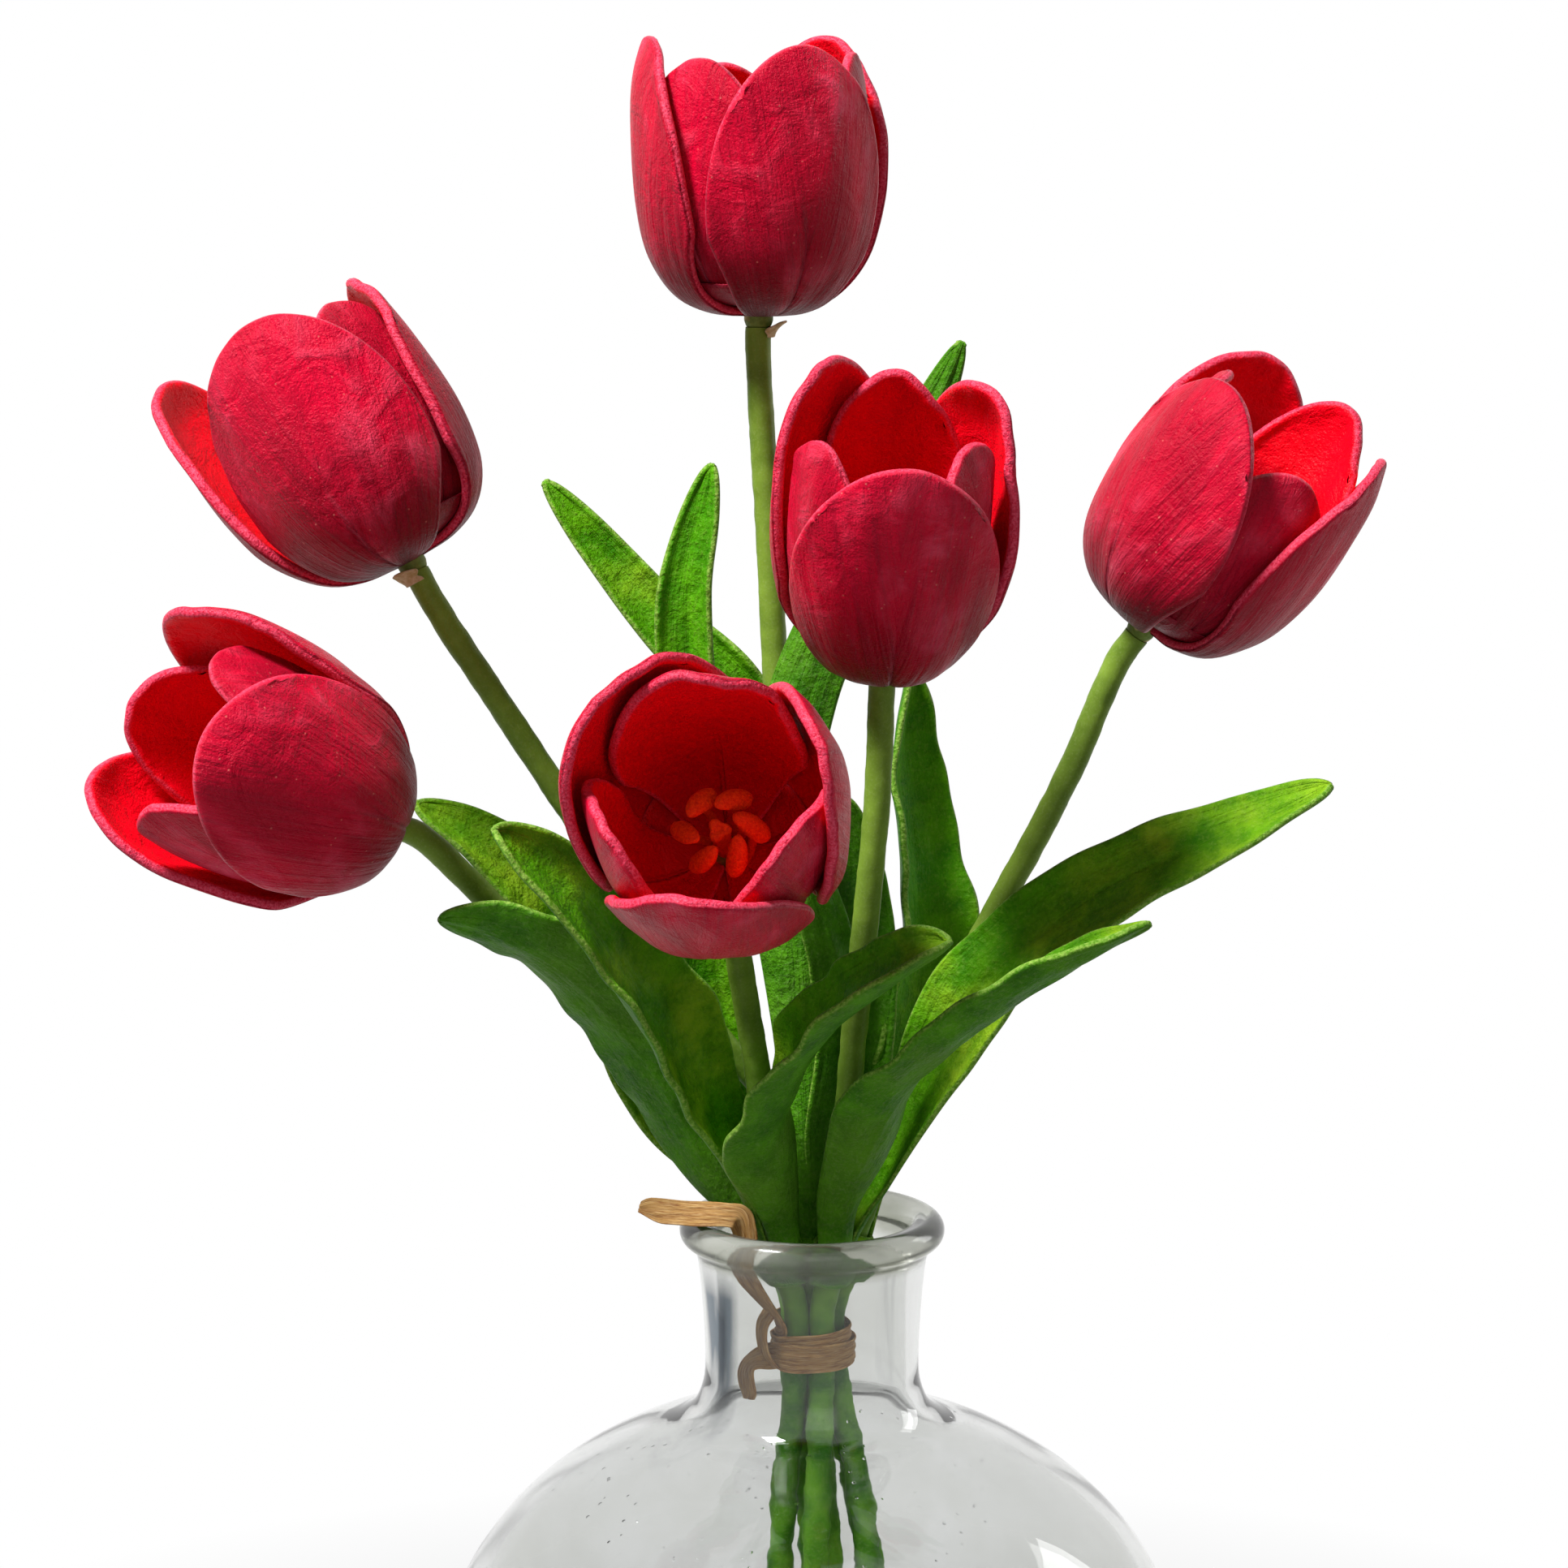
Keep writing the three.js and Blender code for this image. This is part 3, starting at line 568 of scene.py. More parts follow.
def petal_finish():
    """Foam petal: crimson outside with a painted silky sheen and painted glints, scarlet inside, a pinkish
    grainy cut edge.
    """
    f = Finish("petal_foam", Specular_IOR_Level=0.1, Sheen_Weight=0.02, Sheen_Roughness=0.35,
               Sheen_Tint=(1, 0.55, 0.68, 1))
    across = f.value("across")
    along = f.value("along")
    seed = f.value("seed")
    fan = f.minus(f.times(f.sum("ABSOLUTE", across), 10), f.times(along, 5))
    run = f.plus(f.times(along, 2.2), f.times(across, 1.2))
    broad = f.noise(f.vector(f.times(across, 2), f.times(along, 2.1), seed), 1, 3, 0.5, 0.4)
    silk = f.noise(f.vector(f.times(fan, 1.5), run, seed), 1, 5, 0.62, 0.35)
    fine = f.noise(f.vector(f.times(fan, 4.5), f.times(run, 7), seed), 1, 5, 0.62, 0.9)
    creases = f.noise(f.place(), 120, 5, 0.6, 0.6)
    grain = f.noise(f.place(), 2300, 2, 0.65)
    # Painted sheen: pale pink where the broad cloud and the creases both run high.
    painted_sheen = f.times(f.span(broad, 0.45, 0.62), f.span(creases, 0.45, 0.68))
    rib = f.span(f.sum("ABSOLUTE", f.plus(across, f.times(broad, 0.05))), 0.034, 0.012)
    rib = f.times(rib, f.span(along, 0.5, 0.2))

    skin = f.blend(broad, 0.34, 0.66, "#ac0022", "#dc0030")
    skin = f.tint(skin, "#7c0420", silk, 0.46, 0.66, 0.36)
    # Darker towards the foot: partly the petal's own deeper tone, partly painted shade where the petals close
    # in under the head.
    skin = f.tint(skin, "#2e0208", along, 0.58, -0.05)
    # Lays on the painted pale pink sheen.
    skin = f.tint(skin, "#f25c7c", painted_sheen, 0, 1, 0.42)
    # Painted sheen: pale mauve streaks along the sunk middle rib.
    skin = f.mix(f.times(rib, f.span(fine, 0.35, 0.6, 0.0, 0.35)), skin, paint("#c97f98"))
    # Painted glints: small pale peach specks.
    skin = f.tint(skin, "#f0a08c", f.cells(420), 0.1, 0.05, 0.3)
    skin = f.tint(skin, "#e42252", grain, 0.35, 0.65, 0.12)
    inside = f.blend(along, 0.1, 0.85, "#bd0009", "#f2031c")
    inside = f.tint(inside, "#c20224", creases, 0.5, 0.7, 0.3)
    edge = f.blend(grain, 0.35, 0.65, "#c81a38", "#e8506c")

    folds = f.times(f.times(silk, f.span(along, 0.75, 0.1, 0.25, 1.0)), 1.3)
    wrinkles = f.times(f.plus(folds, f.times(fine, 0.12)), f.span(f.value("side"), 0.6, 0.92))
    normal = f.bump(f.minus(f.plus(wrinkles, creases), f.times(rib, 0.4)), 0.0017, 0.85)
    return f.coat(Base_Color=f.sheet_colour(skin, inside, edge),
                  Roughness=f.span(fine, 0.3, 0.7, 0.26, 0.46),
                  Normal=f.bump(grain, 0.00022, 1.0, normal))


def leaf_finish():
    """Foam leaf: bright green within, with painted yellow-green highlights, duller outside, softly clouded,
    with pale cut edges.
    """
    f = Finish("leaf_foam", Specular_IOR_Level=0.07)
    seed = f.value("seed")
    across = f.times(f.plus(f.value("across"), seed), 7)
    veins = f.noise(f.vector(across, f.times(f.value("along"), 4), seed), 1, 5)
    mottle = f.noise(f.place(), 150, 7, 0.68)
    patch = f.noise(f.place(), 34, 3, 0.5)
    grain = f.noise(f.place(), 1500, 3, 0.7)
    pits = f.noise(f.place(), 420, 3, 0.6)

    front = f.blend(mottle, 0.32, 0.68, "#347800", "#62aa08")
    # Painted highlight: pale yellow-green patches where the broad and fine clouds are both high.
    painted_highlight = f.times(f.span(patch, 0.5, 0.64), f.span(mottle, 0.4, 0.62, 0.2, 0.75))
    front = f.mix(painted_highlight, front, paint("#a8c52c"))
    front = f.tint(front, "#2f8a0a", patch, 0.46, 0.34, 0.35)
    front = f.tint(front, "#a9c957", grain, 0.5, 0.7, 0.2)
    back = f.blend(mottle, 0.32, 0.68, "#296204", "#569814")
    back = f.tint(back, "#5f8c22", patch, 0.5, 0.66, 0.5)
    back = f.tint(back, "#8ba860", grain, 0.5, 0.7, 0.25)
    edge = f.blend(grain, 0.4, 0.65, "#588c1c", "#93b650")

    relief = f.plus(f.times(veins, 0.5), f.plus(f.times(pits, 0.6), mottle))
    normal = f.bump(relief, 0.0018, 0.75)
    return f.coat(Base_Color=f.sheet_colour(front, back, edge),
                  Roughness=f.span(mottle, 0.3, 0.7, 0.38, 0.56),
                  Normal=f.bump(grain, 0.00022, 0.9, normal))


def stem_finish():
    """Soft coated wire: olive, mottled, greener and darker low down."""
    f = Finish("stem_coat", Roughness=0.45, Specular_IOR_Level=0.12)
    height = f.node("SeparateXYZ", {0: f.place()}, 2)
    mottle = f.noise(f.place(), 130, 4, 0.55)
    grain = f.noise(f.place(), 2200, 3, 0.6)
    olive = f.blend(mottle, 0.3, 0.7, "#5d7824", "#7f9c36")
    low = f.blend(mottle, 0.35, 0.65, "#2c6a10", "#6aa42a")
    colour = f.mix(f.span(height, 0.1, 0.17), low, olive)
    colour = f.tint(colour, "#a3b274", grain, 0.5, 0.8, 0.25)
    normal = f.bump(mottle, 0.0004, 0.4)
    return f.coat(Base_Color=colour, Normal=f.bump(grain, 0.0001, 0.5, normal))


def stamen_finish():
    """Orange anthers and threads, dusty with pollen."""
    f = Finish("stamen_orange", Roughness=0.7, Specular_IOR_Level=0.3)
    grain = f.noise(f.place(), 1900, 3, 0.7)
    return f.coat(Base_Color=f.blend(grain, 0.35, 0.7, "#cf3404", "#f4600c"),
                  Normal=f.bump(grain, 0.0003, 0.8))


def plug_finish():
    """The stub under a head: olive like its stem, with patches of the cream sleeve inside."""
    f = Finish("plug_olive", Roughness=0.55, Specular_IOR_Level=0.25)
    patch = f.noise(f.place(), 160, 2, 0.5)
    grain = f.noise(f.place(), 900, 4, 0.6)
    olive = f.blend(grain, 0.35, 0.7, "#5f7428", "#7d9240")
    cream = f.blend(grain, 0.35, 0.7, "#b3a265", "#d2c594")
    return f.coat(Base_Color=f.mix(f.span(patch, 0.54, 0.58), olive, cream),
                  Normal=f.bump(grain, 0.0003, 0.5))


def scrap_finish():
    """A torn scrap of the stem's cream sleeve."""
    f = Finish("sleeve_cream", Roughness=0.7, Specular_IOR_Level=0.15)
    grain = f.noise(f.place(), 900, 4, 0.6)
    return f.coat(Base_Color=f.blend(grain, 0.35, 0.7, "#b59f6c", "#dccca4"))


def raffia_finish():
    """Dry leaf fibre: tan and orange-brown streaks that run along the strip."""
    f = Finish("raffia_fibre", Roughness=0.6, Specular_IOR_Level=0.35)
    across = f.value("across")
    along = f.value("along")
    streaks = f.noise(f.vector(f.times(across, 4.5), f.times(along, 2.2), 0), 1, 5, 0.65, 0.3)
    fine = f.noise(f.vector(f.times(across, 19), f.times(along, 4), 4), 1, 3, 0.6)
    colour = f.blend(streaks, 0.38, 0.6, "#865524", "#b98c4e")
    colour = f.tint(colour, "#d4b07a", fine, 0.46, 0.66, 0.75)
    return f.coat(Base_Color=colour, Normal=f.bump(f.plus(streaks, fine), 0.0005, 0.7))


def glass_finish():
    """Thick blown glass: pale grey, milky at the lip, with painted dark shade streaks at the sides of the
    neck, with small seeds.
    """
    f = Finish("bottle_glass", IOR=1.42)
    place = f.place()
    height = f.node("SeparateXYZ", {0: place}, 2)
    waves = f.noise(f.stretch(place, (30, 30, 12)), 1, 2, 0.5)
    threads = f.noise(f.stretch(place, (120, 120, 22)), 1, 3, 0.55, 0.5)
    cloud = f.noise(place, 24, 4, 0.6, 0.8)
    grain = f.noise(place, 900, 3, 0.6)
    neck = f.times(f.span(height, 0.088, 0.1), f.span(height, 0.124, 0.118))
    lip = f.span(height, 0.1225, 0.1255)

    # Painted shade: dark blue-grey streaks at the left and right sides of the neck, standing in for the dark
    # refraction there.
    level = f.node("VectorMath", {0: place, 1: (1, 1, 0)}, operation="MULTIPLY")
    around = f.node("VectorMath", {0: level}, operation="NORMALIZE")
    left = f.node("VectorMath", {0: around, 1: (-0.86, -0.51, 0)}, 1, operation="DOT_PRODUCT")
    right = f.node("VectorMath", {0: around, 1: (0.8, 0.6, 0)}, 1, operation="DOT_PRODUCT")
    wander = f.span(waves, 0.3, 0.7, -0.02, 0.02)
    left = f.span(f.plus(left, wander), 0.965, 0.992)
    right = f.span(f.plus(right, wander), 0.985, 0.997, 0, 0.45)
    painted_edge_shade = f.times(f.times(f.plus(left, right), neck), f.span(threads, 0.38, 0.6, 0.15, 1.0))
    seeds = f.times(f.span(f.cells(300), 0.12, 0.07), f.span(cloud, 0.54, 0.66))

    colour = f.blend(cloud, 0.35, 0.7, "#dfe0dd", "#eceded")
    # Lays on the painted dark streaks at the neck's sides.
    colour = f.mix(painted_edge_shade, colour, paint("#333f4a"))
    colour = f.mix(f.times(seeds, 0.5), colour, paint("#b4b8b4"))
    colour = f.mix(lip, colour, f.blend(cloud, 0.4, 0.62, "#b4b7a8", "#e4e5dc"))
    normal = f.bump(waves, 0.0014, 0.3)
    normal = f.bump(f.times(grain, lip), 0.00006, 0.4, normal)
    haze = f.node("VolumeAbsorption", {"Color": (0.5, 0.52, 0.47, 1), "Density": 9})
    f.put(f.out, "Volume", haze)
    return f.coat(Base_Color=colour, Transmission_Weight=f.span(lip, 0, 1, 1.0, 0.8),
                  Roughness=f.plus(f.times(lip, 0.09), f.span(cloud, 0.4, 0.7, 0.015, 0.05)),
                  Normal=f.bump(seeds, 0.0004, 0.5, normal))


# Bottle.
def bottle_profile():
    """Outside from the base up, round the lip and down the inside to the floor."""
    bore = NECK_RADIUS - NECK_WALL

    def height_at(wall, r):
        """Where the bowl's outside, or its inside by one wall, is this wide."""
        return BODY_CENTRE_HEIGHT + (BODY_HALF_HEIGHT - wall) * math.sqrt(1 - (r / (BODY_RADIUS - wall)) ** 2)

    def bowl(wall, start, end):
        """Points on the bowl from one height to another."""
        half = BODY_HALF_HEIGHT - wall
        turns = [math.asin((z - BODY_CENTRE_HEIGHT) / half) for z in (start, end)]
        turns = np.linspace(*turns, BOWL_STEPS)
        return [[(BODY_RADIUS - wall) * math.cos(a), BODY_CENTRE_HEIGHT + half * math.sin(a)] for a in turns]

    outer_top = height_at(0, NECK_RADIUS + SHOULDER_FILLET)
    inner_top = height_at(WALL, bore + SHOULDER_FILLET + 1)
    outside = bowl(0, BASE_EDGE, outer_top)
    inside = bowl(WALL, inner_top, FLOOR + BASE_EDGE)
    foot = BODY_RADIUS * math.sqrt(1 - (BODY_CENTRE_HEIGHT / BODY_HALF_HEIGHT) ** 2)
    lip_height = BOTTLE_HEIGHT - LIP_ROUND
    lip_middle = LIP_RADIUS - LIP_ROUND
    lip = []
    for a in np.radians(np.linspace(-75, 90, LIP_STEPS)):
        lip.append([lip_middle + LIP_ROUND * math.cos(a), lip_height + LIP_ROUND * math.sin(a)])

    sweep = [[NECK_RADIUS + out, outer_top + up]
             for out, up in [(4.6, 1.55), (1.9, 3.9), (0.4, 7.3), (-0.2, 11.5)]]
    flare = [[NECK_RADIUS + NECK_FLARE, lip_height - 5], [lip[0][0] - 0.5, lip_height - 3.4]]
    neck = Route([outside[-3], outside[-1], *sweep, *flare, lip[0]], 6).line[6:-1]
    mouth = [[bore + out, BOTTLE_HEIGHT - down] for out, down in [(1.4, 0.8), (0.3, 2.6), (0, 6)]]
    inner_sweep = [[bore + out, inner_top + up] for out, up in [(0, 14), (0.5, 9), (2.5, 4.6), (6, 1.6)]]
    throat = Route([lip[-1], *mouth, *inner_sweep, inside[0], inside[2]], 6).line[1:-7]
    base = Route([[foot - BASE_EDGE, 0], [foot - 0.6, 0.5], outside[0]], 6).line
    corner = [[inside[-1][0] - 1.4, FLOOR + 0.7], [inside[-1][0] - BASE_EDGE - 1, FLOOR]]
    floor = Route([inside[-1], *corner], 6).line[1:]
    return np.vstack([[[0, 0], [20, 0]], base[:-1], outside[:-1], neck, lip, throat, inside, floor,
                      [[20, FLOOR], [0, FLOOR]]])


def make_bottle(finish):
    """The bottle, blown in one piece."""
    corners, faces = revolve(bottle_profile(), BOTTLE_SIDES)
    return piece("bottle", corners, faces, finish)


# Flower heads.
def head_place(head):
    """The matrix that puts a head, made upright at the origin, on its stem, in millimetres."""
    axis = Vector(head["tip"]).normalized()
    turn = Vector((0, 0, 1)).rotation_difference(axis).to_matrix().to_4x4()
    return Matrix.Translation(Vector(over(head["base"]))) @ turn


def moved(points, matrix):
    """Points of any grid put through a matrix."""
    m = np.array(matrix)
    return points @ m[:3, :3].T + m[:3, 3]


def petal_line(girth, inset, long):
    """A petal's middle line from the side: distance from the axis, height."""
    r = HEAD_RADIUS * girth - inset
    start = PETAL_THICKNESS / 2 + (PETAL_THICKNESS + CLEARANCE if inset else 0)
    rise = (HEAD_LENGTH - start - inset) * long
    shape = [(0.4, 0.012), (0.65, 0.065), (0.87, 0.2), (0.98, 0.4), (1, 0.65), (0.96, 0.86), (0.85, 1)]
    return Route([[PLUG_RADIUS + CLEARANCE, start]] + [[r * a, start + rise * b] for a, b in shape])


def petal_grid():
    """Places on a petal: across as a share of its full width, along, and how near the edge is.

    It draws in a little over the base and ends in an egg, whose rows bow with the round tip.
    """
    u, t = grid(PETAL_COLUMNS, np.linspace(0, 1, PETAL_ROWS + 1))
    top = np.maximum(0, t - PETAL_WIDEST) / (1 - PETAL_WIDEST)
    low = np.minimum(1, t / PETAL_WIDEST)
    foot = lerp(0.9, 1, low) - 0.12 * np.sin(low * math.pi)
    across = u * foot * np.sqrt(1 - top ** 2 / 2)
    along = np.minimum(t, PETAL_WIDEST) + (1 - PETAL_WIDEST) * 0.975 * top * np.sqrt(1 - u ** 2 / 2)
    return across, along, np.maximum(np.abs(u), top)


def petal_push(u, v, near, phase):
    """How far a petal's face stands out: soft waves by chance, a wavier rim and a sunk middle rib."""
    rib = np.exp(-(u / 0.045) ** 2) * smooth(v, 0.03, 0.14) * (1 - smooth(v, 0.25, 0.6))
    soft = 0.36 * np.sin(4.4 * u + phase[0]) * np.sin(6 * v + phase[1])
    soft = soft + 0.22 * np.sin(7 * u + 5 * v + phase[2])
    soft = soft + 0.08 * np.sin(17 * np.abs(u) - 9 * v + phase[5]) * np.sin(4 * v + phase[6])
    rim = smooth(near, 0.75, 1) * smooth(v, 0.25, 0.45)
    ruffle = 0.28 * np.sin(7 * v + phase[3] + 6 * u) + 0.07 * np.sin(23 * v + phase[4] + 19 * u)
    return (soft + ruffle * rim) * smooth(v, 0.05, 0.3) - 0.45 * rib


def petal_sheet(head, inset, shape, seed):
    """One petal of a head, from its turn, lean, width and length."""
    turn, lean, wide, long = (shape + [1, 1])[:4]
    rng = np.random.default_rng(seed)
    phase = rng.uniform(0, 2 * math.pi, 8)
    line = petal_line(head.get("girth", 1), inset, long)
    u, v, near = petal_grid()
    middle = line.at(v)
    slope = line.along(v)
    full = math.radians(PETAL_HALF_ANGLE * wide)
    angle = full * u * (1 - 0.65 / np.maximum(4, middle[..., 0] * full))
    push = petal_push(u, v, near, phase)
    r = middle[..., 0] + push * slope[..., 1]
    z = middle[..., 1] - push * slope[..., 0]
    shift = math.tan(math.radians(lean)) * z * smooth(z, 0, HEAD_LENGTH * 0.3)
    points = np.stack([r * np.cos(angle) + shift, r * np.sin(angle), z], -1)
    place = head_place(head) @ Matrix.Rotation(math.radians(turn), 4, "Z")
    swell = 1 + 0.2 * smooth(near, 0.85, 1) * smooth(v, 0.2, 0.4)
    half = PETAL_THICKNESS / 2 * swell * (1 - 0.06 * v)
    return slab(moved(points, place), half, u, v)


def make_petals(head, finish):
    """A head's three outer and three inner petals, each a piece."""
    for whorl, inset in (("outer", 0), ("inner", PETAL_THICKNESS + WHORL_GAP)):
        for k, shape in enumerate(head[whorl]):
            name = f"petal_{head['name']}_{whorl}_{k + 1}"
            seed = sum(ord(c) * (i + 1) for i, c in enumerate(name)) % 997
            sheet = petal_sheet(head, inset, shape, seed)
            petal = join_sheets("foam_" + name, [sheet], finish, [seed % 31])
            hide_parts(name)
            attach(petal, "head_" + head["name"])


# The camera.
def make_camera():
    """Looks down a little from the front, as the photograph does."""
    data = bpy.data.cameras.new("camera")
    data.lens = CAMERA_LENS
    data.sensor_width = CAMERA_SENSOR
    data.clip_start = 0.05
    made = bpy.data.objects.new("camera", data)
    made.location = CAMERA_PLACE
    made.rotation_euler = (math.radians(90 - CAMERA_PITCH), 0, 0)
    bpy.context.scene.collection.objects.link(made)
    bpy.context.scene.camera = made


# Stamens and cores.
def stamen_tree():
    """Stamens in a ring round the middle of a head, each leaning and turning by chance."""
    tree = bpy.data.node_groups.new("stamen_ring", "GeometryNodeTree")
    tree_inputs(tree, "Object", Stamen=None)
    tree_inputs(tree, "Float", Ring=STAMEN_RING * MM, Height=STAMEN_HEIGHT * MM, Lean=STAMEN_LEAN)
    tree_inputs(tree, "Int", Count=STAMENS, Seed=1)
    tree_inputs(tree, "Material", Finish=None)
    tree.interface.new_socket("Geometry", in_out="OUTPUT", socket_type="NodeSocketGeometry")
    given = tree.nodes.new("NodeGroupInput")
    out = tree.nodes.new("NodeGroupOutput")

    def add(kind, links=(), **settings):
        return tree_node(tree, kind, links, **settings).outputs[0]

    ring = add("GeometryNodeMeshCircle", [("Vertices", given.outputs["Count"]),
                                          ("Radius", given.outputs["Ring"])])
    outward = add("ShaderNodeVectorMath", [(0, add("GeometryNodeInputPosition"))], operation="NORMALIZE")
    turn = add("FunctionNodeAlignEulerToVector", [("Vector", outward)], axis="X", pivot_axis="Z")
    chance = add("FunctionNodeRandomValue", [(0, (-0.5, -0.5, -0.8)), (1, (0.5, 0.5, 0.8)),
                                             ("Seed", given.outputs["Seed"])], data_type="FLOAT_VECTOR")
    lean = add("ShaderNodeVectorMath", [(0, chance), ("Scale", given.outputs["Lean"])], operation="SCALE")
    source = tree_node(tree, "GeometryNodeObjectInfo", [("Object", given.outputs["Stamen"])])
    placed = add("GeometryNodeInstanceOnPoints", [("Points", ring), ("Rotation", turn),
                                                  ("Instance", source.outputs["Geometry"])])
    tilted = add("GeometryNodeRotateInstances", [("Instances", placed), ("Rotation", lean)])
    rise = add("ShaderNodeCombineXYZ", [(2, given.outputs["Height"])])
    lifted = add("GeometryNodeTransform", [("Geometry", tilted), ("Translation", rise)])
    whole = add("GeometryNodeRealizeInstances", [("Geometry", lifted)])
    coated = add("GeometryNodeSetMaterial", [("Geometry", whole), ("Material", given.outputs["Finish"])])
    tree.links.new(coated, out.inputs[0])
    return tree


def stamen_shape(finish):
    """One stamen, with its anther at the origin and its thread bent in to the plug."""
    thread = Route([[-(STAMEN_RING - PLUG_RADIUS + 1), 0, PLUG_ABOVE - STAMEN_HEIGHT],
                    [-STAMEN_RING * 0.25, 0, PLUG_ABOVE + 5 - STAMEN_HEIGHT], [0, 0, -ANTHER_LENGTH * 0.4]])
    rings = [(thread.at(share), THREAD_RADIUS) for share in np.linspace(0, 1, THREAD_STEPS)]
    for a in np.radians(np.linspace(-80, 84, ANTHER_STEPS)):
        height = ANTHER_LENGTH / 2 * math.sin(a)
        swell = ANTHER_RADIUS * math.cos(a) ** 0.6
        tilted = [0.5 - 0.45 * height - 0.05 * height ** 2, 0.6 * height, 0.8 * height]
        rings.append((np.array(tilted), swell * (1.06 - 0.03 * height)))
    turns = np.linspace(0, 2 * math.pi, STAMEN_SIDES, endpoint=False)
    corners = []
    for k, (centre, r) in enumerate(rings):
        lobe = 1 - (0.22 * np.abs(np.sin(turns)) ** 6 if k > THREAD_STEPS else 0)
        corners.append(np.column_stack([centre[0] + r * np.cos(turns) * lobe,
                                        centre[1] + r * np.sin(turns) * lobe,
                                        np.full(STAMEN_SIDES, centre[2])]))
    last = STAMEN_SIDES * (len(rings) - 1)
    faces = []
    for start in range(0, last, STAMEN_SIDES):
        for s in range(STAMEN_SIDES):
            one = start + s
            two = start + (s + 1) % STAMEN_SIDES
            faces.append([one, two, two + STAMEN_SIDES, one + STAMEN_SIDES])
    faces.append(list(range(STAMEN_SIDES - 1, -1, -1)))
    faces.append(list(range(last, last + STAMEN_SIDES)))
    mesh = bpy.data.meshes.new("stamen")
    mesh.from_pydata((np.vstack(corners) * MM).tolist(), [], faces)
    mesh.materials.append(finish)
    return bpy.data.objects.new("stamen", mesh)


def make_stamens(head, seed, stamen, tree, finish):
    """A head's ring of stamens, grown by the tree and kept as a plain mesh."""
    holder = bpy.data.objects.new("holder", bpy.data.meshes.new("holder"))
    bpy.context.scene.collection.objects.link(holder)
    ring = holder.modifiers.new("stamens", "NODES")
    ring.node_group = tree
    set_inputs(ring, tree, Stamen=stamen, Seed=seed, Finish=finish, Ring=STAMEN_RING * MM,
               Height=STAMEN_HEIGHT * MM, Lean=STAMEN_LEAN, Count=STAMENS)
    bpy.context.view_layer.update()
    return keep_as_mesh(holder, "stamens_" + head["name"])


def plug_shape():
    """The stub that a head is pushed on with."""
    return revolve([[0, -PLUG_BELOW], [PLUG_RADIUS - 0.5, -PLUG_BELOW],
                    [PLUG_RADIUS - 0.3, -PLUG_BELOW + 0.3], [PLUG_RADIUS, -PLUG_BELOW + 1.2],
                    [PLUG_RADIUS, PLUG_ABOVE - 0.6], [PISTIL_RADIUS, PLUG_ABOVE + 0.2],
                    [0, PLUG_ABOVE + 0.3]], PLUG_SIDES)


def pistil_shape():
    """The pistil in the middle of a head, with three lobes at its top."""
    top = PISTIL_LENGTH - 3
    corners, faces = revolve([[0, PLUG_ABOVE - 1], [PISTIL_RADIUS, PLUG_ABOVE - 0.8],
                              [PISTIL_RADIUS * 0.95, top * 0.5], [PISTIL_RADIUS, top - 4],
                              [PISTIL_RADIUS * 1.05, top - 2.4], [PISTIL_RADIUS * 1.1, top - 1.2],
                              [PISTIL_RADIUS * 0.9, top - 0.3], [PISTIL_RADIUS * 0.5, top - 0.5],
                              [0, top - 0.9]], PISTIL_SIDES)
    turn = np.arctan2(corners[:, 1], corners[:, 0])
    lobes = 1 + 0.22 * np.cos(3 * turn) * smooth(corners[:, 2], top - 5, top - 1)
    corners[:, :2] *= lobes[:, None]
    return corners, faces


def base_cup(head, finish):
    """The thin foam disc at the petals' foot, between their two rings, scarlet on top."""
    line = petal_line(head.get("girth", 1), 0, 1)
    share = np.linspace(0, 0.24, 12)
    middle = line.at(share)
    slope = line.along(share)
    inward = np.stack([-slope[:, 1], slope[:, 0]], -1)
    inner = middle + inward * (PETAL_THICKNESS / 2 + 0.22)
    lower = inner - inward * 0.12
    profile = np.vstack([[[0, inner[0, 1]]], inner, lower[::-1], [[0, lower[0, 1]]]])
    corners, faces = revolve(profile[::-1], CUP_SIDES)
    height_inside = np.interp(np.hypot(corners[:, 0], corners[:, 1]), inner[:, 0], inner[:, 1])
    side = np.where(corners[:, 2] > height_inside - 0.06, -1.0, 1.0)
    # Its along value gives its underside the petals' darker foot: partly their own deeper tone, partly
    # painted shade.
    return piece("base_cup_" + head["name"], corners, faces, finish, side=side, across=0.4, along=0.12,
                 seed=3)


def sleeve_flap(head, turn, finish):
    """A torn scrap of the stem's sleeve that stands off under the petals."""
    u, v = grid(FLAP_COLUMNS, np.linspace(0, 1, FLAP_ROWS + 1))
    wide = 2 * np.sqrt(np.maximum(0.02, 1 - v ** 2.5)) * (1 + 0.2 * np.sin(9 * v + 2 * u))
    a = u * wide / PLUG_RADIUS
    r = PLUG_RADIUS + 0.15 + 2.2 * v ** 1.6
    points = np.stack([r * np.cos(a), r * np.sin(a), -PLUG_BELOW - 1.6 + 3 * v - 0.4 * v ** 3], -1)
    place = head_place(head) @ Matrix.Rotation(math.radians(turn), 4, "Z")
    sheet = slab(moved(points, place), 0.22, u, v, STRIP_RIM)
    return join_sheets("sleeve_flap_" + head["name"], [sheet], finish, [1])


